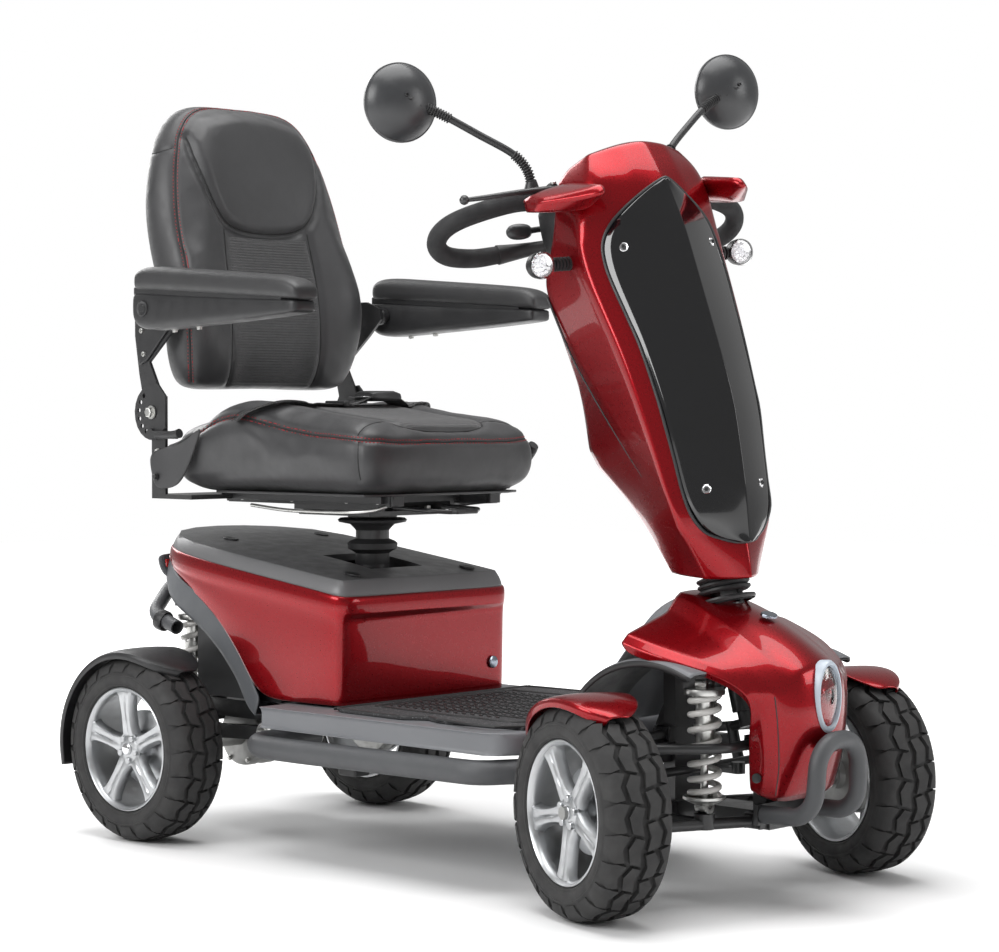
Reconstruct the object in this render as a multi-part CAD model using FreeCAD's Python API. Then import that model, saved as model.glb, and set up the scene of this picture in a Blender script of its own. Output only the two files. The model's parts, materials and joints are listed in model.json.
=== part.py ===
import FreeCAD, Part
import math
import os

# Mobility scooter. Millimetres. +X is forward, +Y the rider's left, +Z up.
# The origin is on the ground, midway between the two axles, on the centre line.
V = FreeCAD.Vector
X_AXIS, Y_AXIS, Z_AXIS = V(1, 0, 0), V(0, 1, 0), V(0, 0, 1)
SIDES = (("right", -1), ("left", 1))

# ---- driving dimensions ----
WHEELBASE = 1090.0
TYRE_R = 165.0
TYRE_W = 112.0
RIM_R = 109.0
AXLE_R = 10.0
FRONT_TRACK = 617.0
REAR_TRACK = 584.0
TILLER_SWEEP = 0.75          # how far the tiller's front falls back per unit of width
LEVER_X = 188.0              # speed lever, clear of the console through its swing
STEER_REST = -19.0          # degrees; the stored pose is a gentle right-hand turn
COLUMN_RAKE = 15.0          # degrees that the column leans back
TILT_PIVOT = V(535, 0, 480)  # tiller fold pivot, on the column axis
KINGPIN_Y = 232.0
ARM_PIVOT_Y = 48.0
LOWER_ARM_Z = 132.0
UPPER_ARM_Z = 252.0
SHOCK_Y = 122.0
SHOCK_X = 592.0
SHOCK_TOP_Z = 356.0         # underside of the bridge over the front shocks
REAR_BUSH_X = 450.0         # wishbone bushes behind and ahead of the axle
FRONT_BUSH_X = 630.0
SWING_PIVOT = V(-349, 0, 194)
POST_X = -265.0
POST_R = 24.0
HINGE = V(-574, 0, 761)     # backrest pivot
ARM_Y = 292.0               # centre of each armrest
ARM_PIVOT = V(-505, 0, 944) # armrest pivot
FIT = 0.06                  # radial running clearance
SOCKET_Z = 305.0            # accessory socket at the tail
SOCKET_BORE = 25.4          # takes a one inch tube

FRONT_X = WHEELBASE / 2
REAR_X = -WHEELBASE / 2
FRONT_Y = FRONT_TRACK / 2
REAR_Y = REAR_TRACK / 2


# ---- small tools ----
def box(x0, x1, y0, y1, z0, z1):
    """An upright block between two corners."""
    return Part.makeBox(x1 - x0, y1 - y0, z1 - z0, V(x0, y0, z0))


def rod(start, end, radius):
    """A round bar from one point to another."""
    way = V(*end) - V(*start)
    return Part.makeCylinder(radius, way.Length, V(*start), way)


def ring(start, end, radius, bore):
    """A round bar with a hole through it."""
    return rod(start, end, radius).cut(rod(start, end, bore))


def fuse(*shapes):
    """One solid out of touching or overlapping shapes."""
    whole = shapes[0]
    for shape in shapes[1:]:
        whole = whole.fuse(shape)
    return whole.removeSplitter()


def group(*shapes):
    """Separate solids kept in one node."""
    return Part.makeCompound(list(shapes))


def bent_path(points, bend):
    """Straight runs joined by tangent arcs."""
    points = [V(*p) for p in points]
    edges, here = [], points[0]
    for before, corner, after in zip(points, points[1:], points[2:]):
        back, on = (before - corner).normalize(), (after - corner).normalize()
        half_turn = (math.pi - back.getAngle(on)) / 2
        reach = min(bend * math.tan(half_turn), 0.45 * min((before - corner).Length,
                                                           (after - corner).Length))
        radius = reach / math.tan(half_turn)
        start, end = corner + back * reach, corner + on * reach
        inward = (back + on).normalize()
        centre = corner + inward * (radius / math.cos(half_turn))
        middle = centre - inward * radius
        edges.append(Part.LineSegment(here, start).toShape())
        edges.append(Part.Arc(start, middle, end).toShape())
        here = end
    edges.append(Part.LineSegment(here, points[-1]).toShape())
    return Part.Wire(edges)


def bent_bar(points, bend, radius):
    """A round bar swept along a bent path."""
    path = bent_path(points, bend)
    start = path.Edges[0].firstVertex().Point
    heading = V(*points[1]) - V(*points[0])
    profile = Part.Wire(Part.makeCircle(radius, start, heading))
    return path.makePipeShell([profile], True, True)


def bent_tube(points, bend, radius, wall):
    """A bent pipe with open ends."""
    return bent_bar(points, bend, radius).cut(bent_bar(points, bend, radius - wall))


def polygon(points):
    """A closed wire through the points."""
    corners = [V(*p) for p in points]
    return Part.makePolygon(corners + [corners[0]])


def side_plate(outline, y0, y1):
    """An outline in X and Z, extruded along Y."""
    face = Part.Face(polygon([(x, y0, z) for x, z in outline]))
    return face.extrude(V(0, y1 - y0, 0))


def flat_plate(outline, z0, z1):
    """An outline in X and Y, extruded along Z."""
    face = Part.Face(polygon([(x, y, z0) for x, y in outline]))
    return face.extrude(V(0, 0, z1 - z0))


def front_plate(outline, x0, x1):
    """An outline in Y and Z, extruded along X."""
    face = Part.Face(polygon([(x0, y, z) for y, z in outline]))
    return face.extrude(V(x1 - x0, 0, 0))


def both_sides(outline):
    """Half an outline given as (half width, height), bottom to top, closed by its mirror."""
    return list(outline) + [(-y, z) for y, z in reversed(outline)]


def inset(outline, depth):
    """The outline moved inwards by a wall's thickness."""
    wire = polygon([(a, b, 0) for a, b in outline])
    smaller = wire.makeOffset2D(-depth, 2, False, False, True)
    if Part.Face(smaller).Area > Part.Face(wire).Area:
        smaller = wire.makeOffset2D(depth, 2, False, False, True)
    return [(v.Point.x, v.Point.y) for v in smaller.OrderedVertexes]


def mirror_y(shape):
    """The same piece on the other side."""
    return shape.mirror(V(0, 0, 0), Y_AXIS)


def on_side(shape, side):
    """A piece modelled on the left, placed on the side asked for."""
    return shape if side > 0 else mirror_y(shape)


def column_axis():
    """The steering column's direction, pointing up."""
    lean = math.radians(COLUMN_RAKE)
    return V(-math.sin(lean), 0, math.cos(lean))


def along_column(distance, out=0.0):
    """A point on the column axis, or ahead of it by 'out', square to the axis."""
    lean = math.radians(COLUMN_RAKE)
    return TILT_PIVOT + column_axis() * distance + V(math.cos(lean), 0, math.sin(lean)) * out


def steered(shape):
    """Turns a piece of the tiller to the stored steering angle."""
    return shape.rotated(TILT_PIVOT, column_axis(), STEER_REST)


def wheel_steered(shape, side):
    """Turns a piece of a front corner about its kingpin."""
    return shape.rotated(V(FRONT_X, side * KINGPIN_Y, 0), Z_AXIS, STEER_REST)


# ---- wheels ----
def tyre(centre):
    """A square-shouldered tyre with its bead holes, modelled about Y."""
    half, bead = TYRE_W / 2, RIM_R + 1
    section = [(bead, -half + 9), (bead + 12, -half + 2), (TYRE_R - 26, -half),
               (TYRE_R - 9, -half + 7), (TYRE_R, -half + 26), (TYRE_R, half - 26),
               (TYRE_R - 9, half - 7), (TYRE_R - 26, half), (bead + 12, half - 2),
               (bead, half - 9), (bead + 6, half - 16), (bead + 6, -half + 16)]
    face = Part.Face(polygon([(r, y, 0) for r, y in section]))
    solid = face.revolve(V(0, 0, 0), Y_AXIS, 360)
    return solid.translated(centre)


def rim(centre, outward):
    """A five-spoke alloy rim: barrel with two lips, spokes near the outer face, hub with a bore."""
    half = TYRE_W / 2 - 9
    barrel = ring((0, -half, 0), (0, half, 0), RIM_R, RIM_R - 5)
    lips = [ring((0, y, 0), (0, y + 4, 0), RIM_R + 0.9, RIM_R - 9) for y in (-half - 4, half)]
    hub = rod((0, -34, 0), (0, half - 4, 0), 30)
    spokes = []
    for turn in range(5):
        spoke = Part.makeBox(RIM_R - 22, 22, 26, V(18, half - 26, -13))
        spokes.append(spoke.rotated(V(0, 0, 0), Y_AXIS, 90 + turn * 72))
    solid = fuse(barrel, *lips, hub, *spokes)
    solid = solid.cut(rod((0, -60, 0), (0, 60, 0), AXLE_R + FIT))
    if outward < 0:
        solid = mirror_y(solid)
    return solid.translated(centre)


# ---- chassis ----
def arm_ears(x, z):
    """The four plates that hold a wishbone bush on each side of the hinge bar."""
    ears = []
    for step in (-14, 14):
        for _, side in SIDES:
            near, far = sorted((side * 33, side * 52))
            ears.append(box(x + step - 2, x + step + 2, near, far, z - 12, z + 12))
    return ears


def chassis_frame():
    """Twin rails, cross members, seat post, front suspension tower, steering head and shock mounts."""
    rails = [box(-600, 454, y - 16, y + 16, 206, 238) for y in (-100, 100)]
    crosses = [box(x - 14, x + 14, -112, 112, 206, 238) for x in (-330, -120, 150, 440)]
    hinge_bar = box(438, 650, -34, 34, 118, 146)
    nose_plate = box(648, 656, -72, 72, 130, 162)
    posts = [box(x - 12, x + 12, -34, 34, 118, SHOCK_TOP_Z + 10) for x in (REAR_BUSH_X, FRONT_BUSH_X)]
    top_plate = box(438, 642, -34, 34, SHOCK_TOP_Z, SHOCK_TOP_Z + 10)
    shock_bridge = box(574, 610, -140, 140, SHOCK_TOP_Z, SHOCK_TOP_Z + 10)
    head_tube = ring(along_column(-190), along_column(-60), 27, 20 + FIT)
    ears = arm_ears(REAR_BUSH_X, LOWER_ARM_Z) + arm_ears(FRONT_BUSH_X, LOWER_ARM_Z)
    ears += arm_ears(REAR_BUSH_X, UPPER_ARM_Z) + arm_ears(FRONT_BUSH_X, UPPER_ARM_Z)
    socket_bar = box(-600, -560, -100, 100, SOCKET_Z - 15, SOCKET_Z + 15)
    socket = rod((-650, 0, SOCKET_Z), (-590, 0, SOCKET_Z), 18)
    post = ring((POST_X, 0, 236), (POST_X, 0, 574), 30, POST_R + FIT)
    post_foot = box(POST_X - 60, POST_X + 60, -100, 100, 222, 238)
    bore = rod(along_column(-260), along_column(20), 20 + FIT)
    post_bore = rod((POST_X, 0, 400), (POST_X, 0, 600), POST_R + FIT)
    brackets = []
    for _, side in SIDES:
        brackets.append(box(-368, -330, side * 122 - 8, side * 122 + 8, 176, 238))
        brackets.append(box(-352, -330, side * 100 - 22, side * 100 + 22, 214, 238))
        brackets.append(box(-600, -560, side * 100 - 12, side * 100 + 12, 226, 420))
        near, far = sorted((side * 90, side * 178))
        brackets.append(box(-600, -560, near, far, 408, 420))
    frame = fuse(*rails, *crosses, hinge_bar, nose_plate, *posts, top_plate, shock_bridge, head_tube,
                 *ears, post, post_foot, socket_bar, socket, *brackets)
    socket_bore = rod((-660, 0, SOCKET_Z), (-600, 0, SOCKET_Z), SOCKET_BORE / 2)
    frame = frame.cut(bore).cut(post_bore).cut(socket_bore)
    return frame.cut(rod((0, -140, 0), (0, 140, 0), AXLE_R + FIT).translated(SWING_PIVOT))


def outer_tubes():
    """Side rails along the floor, the front bumper hoop and the rear bumper handle."""
    tubes = []
    for _, side in SIDES:
        rail = [(-292, side * 116, 190), (-292, side * 280, 190), (-160, side * 280, 190),
                (262, side * 280, 194), (344, side * 190, 198), (344, side * 116, 200)]
        tubes.append(bent_tube(rail, 60, 20, 2.5))
    hoop = [(656.5, -57, 146), (750, -57, 148), (756, -50, 264), (756, 50, 264), (750, 57, 148),
            (656.5, 57, 146)]
    tubes.append(bent_tube(hoop, 44, 14, 2.5))
    handle = [(-560, -206, 372), (-640, -196, 392), (-690, -110, 440), (-690, 110, 440),
              (-640, 196, 392), (-560, 206, 372)]
    tubes.append(bent_tube(handle, 60, 13, 2.5))
    return group(*tubes)


# ---- body shells ----
def cowl_outlines():
    """Plan and front outlines of the front cowl."""
    plan = [(452, -92), (496, -214), (560, -206), (640, -176), (700, -104), (738, -50), (742, 0),
            (738, 50), (700, 104), (640, 176), (560, 206), (496, 214), (452, 92)]
    side = [(452, 380), (452, 474), (500, 478), (566, 470), (640, 448), (700, 414), (738, 368),
            (736, 300), (716, 236), (682, 166), (650, 168), (650, 380)]
    front = both_sides([(112, 150), (118, 340), (212, 372), (214, 404), (110, 452), (62, 476),
                        (30, 482)])
    return plan, side, front


def front_cowl():
    """The red nose: a hollow shell over the suspension, open below and over the wheels."""
    plan, profile, front = cowl_outlines()
    wall = 4.0
    outer = flat_plate(plan, 150, 500)
    outer = outer.common(side_plate(profile, -250, 250)).common(front_plate(front, 400, 800))
    inner = flat_plate(inset(plan, wall), 120, 520)
    inner = inner.common(side_plate(inset(profile, wall), -250, 250))
    inner = inner.common(front_plate(inset(front, wall), 380, 820))
    shell = outer.cut(inner)
    shell = shell.cut(box(420, 656, -250, 250, 100, 386))
    throat = rod(along_column(-80), along_column(60), 40)
    lamp_hole = rod((690, 0, 332), (780, 0, 332), 34)
    for _, side in SIDES:
        shell = shell.cut(rod((FRONT_X, side * 119, 172), (FRONT_X, side * 300, 172), 212))
    return shell.cut(throat).cut(lamp_hole)


def arch_liners():
    """Black inner wheel arches with the sloping centre console behind the cowl."""
    outer_r, inner_r = 211.0, 205.0
    pieces = []
    for _, side in SIDES:
        near, far = side * 60, side * 206
        band = ring((FRONT_X, near, 172), (FRONT_X, far, 172), outer_r, inner_r)
        keep = side_plate([(300, 244), (300, 420), (598, 420), (598, 244)], -260, 260)
        pieces.append(band.common(keep))
    slope = side_plate([(322, 262), (338, 262), (338, 300), (436, 470), (424, 470), (322, 306)],
                       -92, 92)
    return group(fuse(slope, *pieces))


def headlight():
    """An upright oval lamp in the nose."""
    body = rod((712, 0, 332), (738, 0, 332), 31)
    lens = rod((738, 0, 332), (744, 0, 332), 29)
    return fuse(body, lens)


def floor_tray():
    """The moulded footwell with a rim, narrowing between the front wheels."""
    outline = [(-258, -272), (286, -272), (318, -236), (318, 236), (286, 272), (-258, 272)]
    tray = flat_plate(outline, 240, 258)
    skirt = flat_plate(outline, 222, 240).cut(flat_plate(inset(outline, 8), 200, 245))
    skirt = skirt.cut(box(-300, 360, -122, 122, 200, 240))
    tray = fuse(tray, skirt)
    tray = tray.cut(box(POST_X - 62, POST_X + 62, -102, 102, 200, 300))
    return tray.cut(box(-300, -180, -130, 130, 200, 300))


def floor_mat():
    """The rubber mat, notched at its outer edges."""
    half = [(300, 216), (150, 240), (96, 226), (60, 248), (-96, 244), (-112, 206)]
    outline = half + [(x, -y) for x, y in reversed(half)]
    return flat_plate(outline, 258.5, 265)


def shell_profile():
    """Side outline of the rear body, with the wheel arch cut into its lower edge."""
    return [(-118, 262), (-118, 446), (-600, 510), (-700, 522), (-708, 512), (-640, 500),
            (-600, 486), (-558, 458), (-503, 430), (-448, 398), (-408, 362), (-376, 320),
            (-352, 276), (-340, 262)]


def rear_plan():
    """Plan outline of the rear body: flat front, rounded tail."""
    points = [(-118, -202), (-136, -212), (-540, -214)]
    for step in range(1, 12):
        angle = math.pi * step / 12
        points.append((-540 - 168 * math.sin(angle), -214 * math.cos(angle)))
    return points + [(-540, 214), (-136, 212), (-118, 202)]


def rear_shell():
    """The red battery cover, a hollow shell open at its top and bottom."""
    wall = 4.0
    outer = flat_plate(rear_plan(), 240, 540).common(side_plate(shell_profile(), -260, 260))
    inner = flat_plate(inset(rear_plan(), wall), 200, 560)
    return outer.cut(inner)


def deck_cover():
    """The lift-off deck over the batteries, with a hole for the seat post."""
    profile = [(-120, 448), (-120, 468), (-132, 482), (-520, 540), (-640, 546), (-690, 538),
               (-700, 526), (-600, 513)]
    plan = inset(rear_plan(), 5.0)
    block = flat_plate(plan, 430, 560).common(side_plate(profile, -260, 260))
    hollow = flat_plate(inset(rear_plan(), 12.0), 400, 600)
    under = side_plate([(-60, 400), (-60, 452), (-138, 462), (-520, 526), (-760, 536), (-760, 400)],
                       -260, 260)
    block = block.cut(hollow.common(under))
    return block.cut(rod((POST_X, 0, 400), (POST_X, 0, 600), 33))


def rear_arch_trims():
    """Grey inner arches below the red shell, joined by a tail panel."""
    pieces = []
    for _, side in SIDES:
        low = [(-352, 262), (-372, 262), (-400, 318), (-436, 366), (-482, 404), (-556, 438),
               (-640, 474), (-640, 486), (-560, 450), (-503, 422), (-452, 390), (-412, 356),
               (-384, 318)]
        y0, y1 = sorted((side * 176, side * 207))
        pieces.append(side_plate(low, y0, y1))
    tail = box(-646, -640, -207, 207, 440, 486)
    return fuse(tail, *pieces)


def battery_pack():
    """Two sealed batteries on the rails and the controller ahead of them."""
    cells = []
    for _, side in SIDES:
        cells.append(box(-548, -322, side * 86 - 82, side * 86 + 82, 250, 410))
    controller = box(-196, -136, -80, 80, 262, 330)
    return group(*cells, controller)


# ---- front suspension ----
def bush(x, z, radius):
    """A wishbone's inner pivot bush, between two ears of the hinge bar."""
    return rod((x - 11.5, ARM_PIVOT_Y, z), (x + 11.5, ARM_PIVOT_Y, z), radius)


def outer_joint(z):
    """A wishbone's outer end, just short of the upright."""
    return rod((FRONT_X, KINGPIN_Y - 28, z), (FRONT_X, KINGPIN_Y - 15, z), 13)


def lower_arm():
    """Left lower wishbone with its pivot bushes and the shock seat."""
    bushes, legs = [], []
    for x, toe in ((REAR_BUSH_X, -12), (FRONT_BUSH_X, 12)):
        bushes.append(bush(x, LOWER_ARM_Z, 12))
        legs.append(rod((x, ARM_PIVOT_Y + 3, LOWER_ARM_Z),
                        (FRONT_X + toe, KINGPIN_Y - 22, LOWER_ARM_Z), 9))
    joint = outer_joint(LOWER_ARM_Z)
    bridge = rod((496, SHOCK_Y, LOWER_ARM_Z), (596, SHOCK_Y, LOWER_ARM_Z), 9)
    seat = rod((SHOCK_X, SHOCK_Y, LOWER_ARM_Z - 8), (SHOCK_X, SHOCK_Y, LOWER_ARM_Z + 16), 16)
    return fuse(*legs, *bushes, joint, bridge, seat)


def upper_arm():
    """Left upper wishbone; the shock passes between its legs."""
    bushes, legs = [], []
    for x, bow_x, toe in ((REAR_BUSH_X, 474, -8), (FRONT_BUSH_X, 640, 8)):
        bushes.append(bush(x, UPPER_ARM_Z, 10))
        legs.append(bent_bar([(x, ARM_PIVOT_Y, UPPER_ARM_Z), (bow_x, 132, UPPER_ARM_Z),
                              (FRONT_X + toe, KINGPIN_Y - 20, UPPER_ARM_Z)], 60, 8))
    joint = outer_joint(UPPER_ARM_Z)
    return fuse(*legs, *bushes, joint)


def upright():
    """Left kingpin carrier between the two wishbones."""
    pin = rod((FRONT_X, KINGPIN_Y, 116), (FRONT_X, KINGPIN_Y, 268), 9)
    heads = [rod((FRONT_X, KINGPIN_Y, z - 11), (FRONT_X, KINGPIN_Y, z + 11), 11.5)
             for z in (LOWER_ARM_Z, UPPER_ARM_Z)]
    return fuse(pin, *heads)


def knuckle():
    """Left steering knuckle: sleeve on the kingpin, stub axle and steering arm."""
    sleeve = ring((FRONT_X, KINGPIN_Y, 152), (FRONT_X, KINGPIN_Y, 232), 19, 9 + FIT)
    stub = rod((FRONT_X, KINGPIN_Y + 12, TYRE_R), (FRONT_X, FRONT_Y + 50, TYRE_R), AXLE_R)
    collar = rod((FRONT_X, KINGPIN_Y + 12, TYRE_R), (FRONT_X, FRONT_Y - 36, TYRE_R), 17)
    arm = rod((FRONT_X - 14, KINGPIN_Y, 222), (FRONT_X - 60, KINGPIN_Y - 4, 222), 8)
    stud = rod((FRONT_X - 60, KINGPIN_Y - 4, 232), (FRONT_X - 60, KINGPIN_Y - 4, 210), 8)
    body = fuse(sleeve, stub, collar, arm, stud)
    return body.cut(rod((FRONT_X, KINGPIN_Y, 100), (FRONT_X, KINGPIN_Y, 300), 9 + FIT))


def front_fender():
    """Left mudguard over the front tyre, with its stay down to the knuckle."""
    inner_r, outer_r = TYRE_R + 10, TYRE_R + 13.5
    y0, y1 = FRONT_Y - 64, FRONT_Y + 60
    band = ring((FRONT_X, y0, TYRE_R), (FRONT_X, y1, TYRE_R), outer_r, inner_r)
    keep = side_plate([(FRONT_X, TYRE_R), (FRONT_X - 260, TYRE_R + 120), (FRONT_X - 260, 420),
                       (FRONT_X + 130, 420)], 0, 500)
    guard = band.common(keep)
    stay = side_plate([(FRONT_X - 12, 244), (FRONT_X + 12, 244), (FRONT_X + 12, 341),
                       (FRONT_X - 12, 341)], y0, y0 + 4)
    foot = box(FRONT_X - 12, FRONT_X + 12, KINGPIN_Y - 12, y0 + 2, 268.5, 272)
    lug = box(FRONT_X - 12, FRONT_X + 12, y0, y0 + 4, 240, 272)
    return fuse(guard, stay, foot, lug)


def shock(foot, head, coil_r, wire_r, turns):
    """A coil-over unit: damper body, rod, two eyes and a separate coil spring."""
    way = V(*head) - V(*foot)
    length = way.Length
    piston = Part.makeCylinder(6, length * 0.6, V(0, 0, 0))
    can = Part.makeCylinder(14, length * 0.45, V(0, 0, length * 0.55))
    lower_seat = Part.makeCylinder(coil_r + 3, 5, V(0, 0, 8))
    upper_seat = Part.makeCylinder(coil_r + 3, 5, V(0, 0, length - 13))
    damper = fuse(piston, can, lower_seat, upper_seat)
    pitch = (length - 30) / turns
    coil = []
    for turn in range(turns):
        torus = Part.makeTorus(coil_r - wire_r, wire_r, V(0, 0, 17 + pitch * (turn + 0.4)))
        coil.append(torus)
    unit = group(damper, *coil)
    turn_to = FreeCAD.Rotation(Z_AXIS, way)
    unit.Placement = FreeCAD.Placement(V(*foot), turn_to)
    return unit


def front_shock(side):
    """Front coil-over, from the lower wishbone up to the bridge."""
    foot = (SHOCK_X, side * SHOCK_Y, LOWER_ARM_Z + 16.5)
    head = (SHOCK_X, side * SHOCK_Y, SHOCK_TOP_Z - 0.5)
    return shock(foot, head, 27, 4.5, 8)


def rear_shocks():
    """Rear coil-overs, from the swing arm up to the frame."""
    units = [shock((-580, side * 150, 216), (-580, side * 150, 407), 25, 4.5, 7)
             for _, side in SIDES]
    return group(*units)


# ---- steering ----
def steering_column():
    """The raked shaft with the pitman arm below and a fork for the tiller above."""
    shaft = rod(along_column(-215), along_column(-40), 20)
    neck = rod(along_column(-46), along_column(-22), 24)
    ears = []
    for side in (-1, 1):
        ear = rod((0, side * 13, 0), (0, side * 21, 0), 19).translated(TILT_PIVOT)
        web = box(-16, 16, min(side * 13, side * 21), max(side * 13, side * 21), 0, 32)
        web = web.rotated(V(0, 0, 0), Y_AXIS, -COLUMN_RAKE).translated(along_column(-32))
        ears += [ear, web]
    pin = rod((0, -21, 0), (0, 21, 0), 7).translated(TILT_PIVOT)
    root, tip = along_column(-208), along_column(-208, -60)
    arm = rod(root, tip, 8)
    stud = rod(tip + column_axis() * 8, tip - column_axis() * 50, 9)
    return fuse(shaft, neck, *ears, pin, arm, stud)


def tiller_bellows():
    """The ribbed rubber collar between the cowl and the tiller."""
    rings = [Part.makeTorus(34.4, 5.6, V(0, 0, z)) for z in (0, 9, 18)]
    sleeve = Part.makeCylinder(36, 18, V(0, 0, 0)).cut(Part.makeCylinder(30, 18, V(0, 0, 0)))
    collar = fuse(sleeve, *rings)
    collar = collar.rotated(V(0, 0, 0), Y_AXIS, -COLUMN_RAKE)
    return collar.translated(along_column(0.5))


def track_rod():
    """The cross link from the pitman arm to both knuckles."""
    level = 196.0
    pin = along_column(-258, -60)
    bar = rod((FRONT_X - 60, -KINGPIN_Y + 4, level), (FRONT_X - 60, KINGPIN_Y - 4, level), 7)
    eyes = [rod((FRONT_X - 60, side * (KINGPIN_Y - 4), level - 8),
                (FRONT_X - 60, side * (KINGPIN_Y - 4), level + 8), 10) for _, side in SIDES]
    tab = box(FRONT_X - 68, pin.x, -9, 9, level - 6, level + 4)
    eye = rod((pin.x, 0, level - 6), (pin.x, 0, level + 12), 11)
    return fuse(bar, *eyes, tab, eye)


# ---- tiller ----
def tiller_ridge():
    """The crease down the middle of the tiller's front, from the foot to the peak."""
    return [(612, 500), (608, 560), (606, 660), (588, 785), (548, 886), (479, 1055), (430, 1140),
            (366, 1206)]


def tiller_profile():
    """Side outline of the tiller cover."""
    return [(460, 500)] + tiller_ridge() + [(340, 1198), (286, 1150), (262, 1112), (264, 1040),
                                            (288, 900), (294, 800), (308, 690), (398, 580)]


def tiller_nose(shift):
    """Everything behind the V-shaped front, moved ahead by a given distance."""
    outline = [(x + shift, z) for x, z in tiller_ridge()] + [(-600, 1206), (-600, 500)]
    halves = []
    for _, side in SIDES:
        face = Part.Face(polygon([(x, 0, z) for x, z in outline]))
        halves.append(face.extrude(V(-TILLER_SWEEP * 300, side * 300, 0)))
    return fuse(*halves)


def tiller_front():
    """Front outline of the tiller cover, half width against height."""
    return both_sides([(52, 500), (76, 566), (96, 650), (116, 800), (140, 960), (160, 1070),
                       (160, 1120), (112, 1160), (40, 1208)])


def tiller_cover():
    """Two-piece red tiller shell with a wing on each side, hollow, open at the foot."""
    wall = 4.0
    outer = side_plate(tiller_profile(), -250, 250).common(front_plate(tiller_front(), 150, 700))
    outer = outer.common(tiller_nose(0))
    inner = side_plate(inset(tiller_profile(), wall), -250, 250)
    inner = inner.common(front_plate(inset(tiller_front(), wall), 150, 700))
    inner = inner.common(tiller_nose(-1.25 * wall))
    shell = outer.cut(inner)
    shell = shell.cut(rod(along_column(0), along_column(60), 44))
    shell = shell.cut(box(470, 590, -44, 44, 490, 512))
    shell = shell.cut(box(200, 300, -80, 80, 1006, 1126))
    wings = []
    for _, side in SIDES:
        blade = flat_plate([(300, side * 140), (430, side * 140), (392, side * 200),
                            (330, side * 206)], 1092, 1120)
        wings.append(blade)
    return fuse(shell, *wings)


def tiller_panel():
    """The glossy black front panel, standing just ahead of the cover."""
    outline = both_sides([(16, 562), (56, 580), (74, 610), (84, 700), (92, 800), (102, 920),
                          (110, 1000), (106, 1042), (92, 1070), (56, 1100), (12, 1132)])
    skin = tiller_nose(6).cut(tiller_nose(0.8))
    return skin.common(front_plate(outline, 350, 700))


def tiller_core():
    """The folding steel post with the control console on top."""
    knuckle_end = ring((0, -12.9, 0), (0, 12.9, 0), 17, 7 + FIT).translated(TILT_PIVOT)
    post = rod(along_column(14), along_column(560), 12)
    console = box(212, 296, -76, 76, 1010, 1122)
    bridge = box(296, 400, -18, 18, 1010, 1040)
    body = fuse(knuckle_end, post, console, bridge)
    return body.cut(rod((0, -60, 0), (0, 60, 0), 7 + FIT).translated(TILT_PIVOT))


def handlebar():
    """Two foam-covered loops that leave the console and return to it."""
    loops = []
    for _, side in SIDES:
        path = [(224, side * 70, 1108), (228, side * 150, 1108), (222, side * 250, 1094),
                (196, side * 292, 1062), (160, side * 246, 1032), (168, side * 150, 1036),
                (222, side * 70, 1040)]
        loops.append(bent_bar(path, 34, 14.5))
    return group(*loops)


def indicator_lamps():
    """A turn signal on a short stalk at each side of the cover."""
    lamps = []
    for _, side in SIDES:
        lamp = rod((332, side * 190, 1011), (362, side * 190, 1011), 22)
        stalk = rod((345, side * 153.5, 1011), (345, side * 180, 1011), 9)
        lamps.append(fuse(lamp, stalk))
    return group(*lamps)


def wigwag_lever():
    """The thumb lever for speed: a hub with a paddle towards each grip."""
    hub = rod((LEVER_X, 0, 1064), (LEVER_X, 0, 1082), 13)
    bar = box(LEVER_X - 5, LEVER_X + 5, -150, 150, 1068, 1078)
    paddles = []
    for _, side in SIDES:
        paddles.append(rod((LEVER_X, side * 118, 1073), (LEVER_X, side * 156, 1073), 8))
    return fuse(hub, bar, *paddles)


def brake_lever():
    """The hand brake lever ahead of the right grip, with a ball end."""
    blade = rod((250, -100, 1134), (250, -262, 1124), 5)
    ball = Part.makeSphere(8, V(250, -266, 1124))
    pivot = rod((250, -100, 1127), (250, -100, 1142), 9)
    return fuse(blade, ball, pivot)


def speed_dial():
    """The speed setting knob on the console's rear face."""
    return rod((197, 46, 1098), (211.5, 46, 1098), 11)


def wing_mirror():
    """Left rear-view mirror: clamp, bent stem and round convex head."""
    clamp = rod((228, 128, 1124), (228, 128, 1142), 10)
    stem = bent_bar([(228, 128, 1140), (224, 142, 1184), (176, 262, 1262), (166, 300, 1280)],
                    30, 6)
    back = Part.makeSphere(96, V(90, 318, 1290)).common(rod((150, 318, 1290), (190, 318, 1290), 64))
    glass = rod((146, 318, 1290), (151, 318, 1290), 63)
    return fuse(clamp, stem, back, glass)


# ---- rear drive ----
def swing_arm():
    """The rear fork: two arms on the pivot bolts, joined by a cross beam."""
    arms = []
    for _, side in SIDES:
        boss = rod((0, side * 133, 0), (0, side * 157, 0), 20).translated(SWING_PIVOT)
        pin = rod((0, side * 113, 0), (0, side * 157, 0), AXLE_R).translated(SWING_PIVOT)
        y0, y1 = sorted((side * 134, side * 156))
        beam = side_plate([(-340, 180), (-340, 204), (-520, 196), (-612, 212), (-612, 190),
                           (-520, 172)], y0, y1)
        arms.append(fuse(boss, pin, beam))
    cross = box(-616, -603, -156, 156, 190, 206)
    fork = fuse(cross, *arms)
    return fork.cut(rod((REAR_X, -200, TYRE_R), (REAR_X, 200, TYRE_R), 20))


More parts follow.
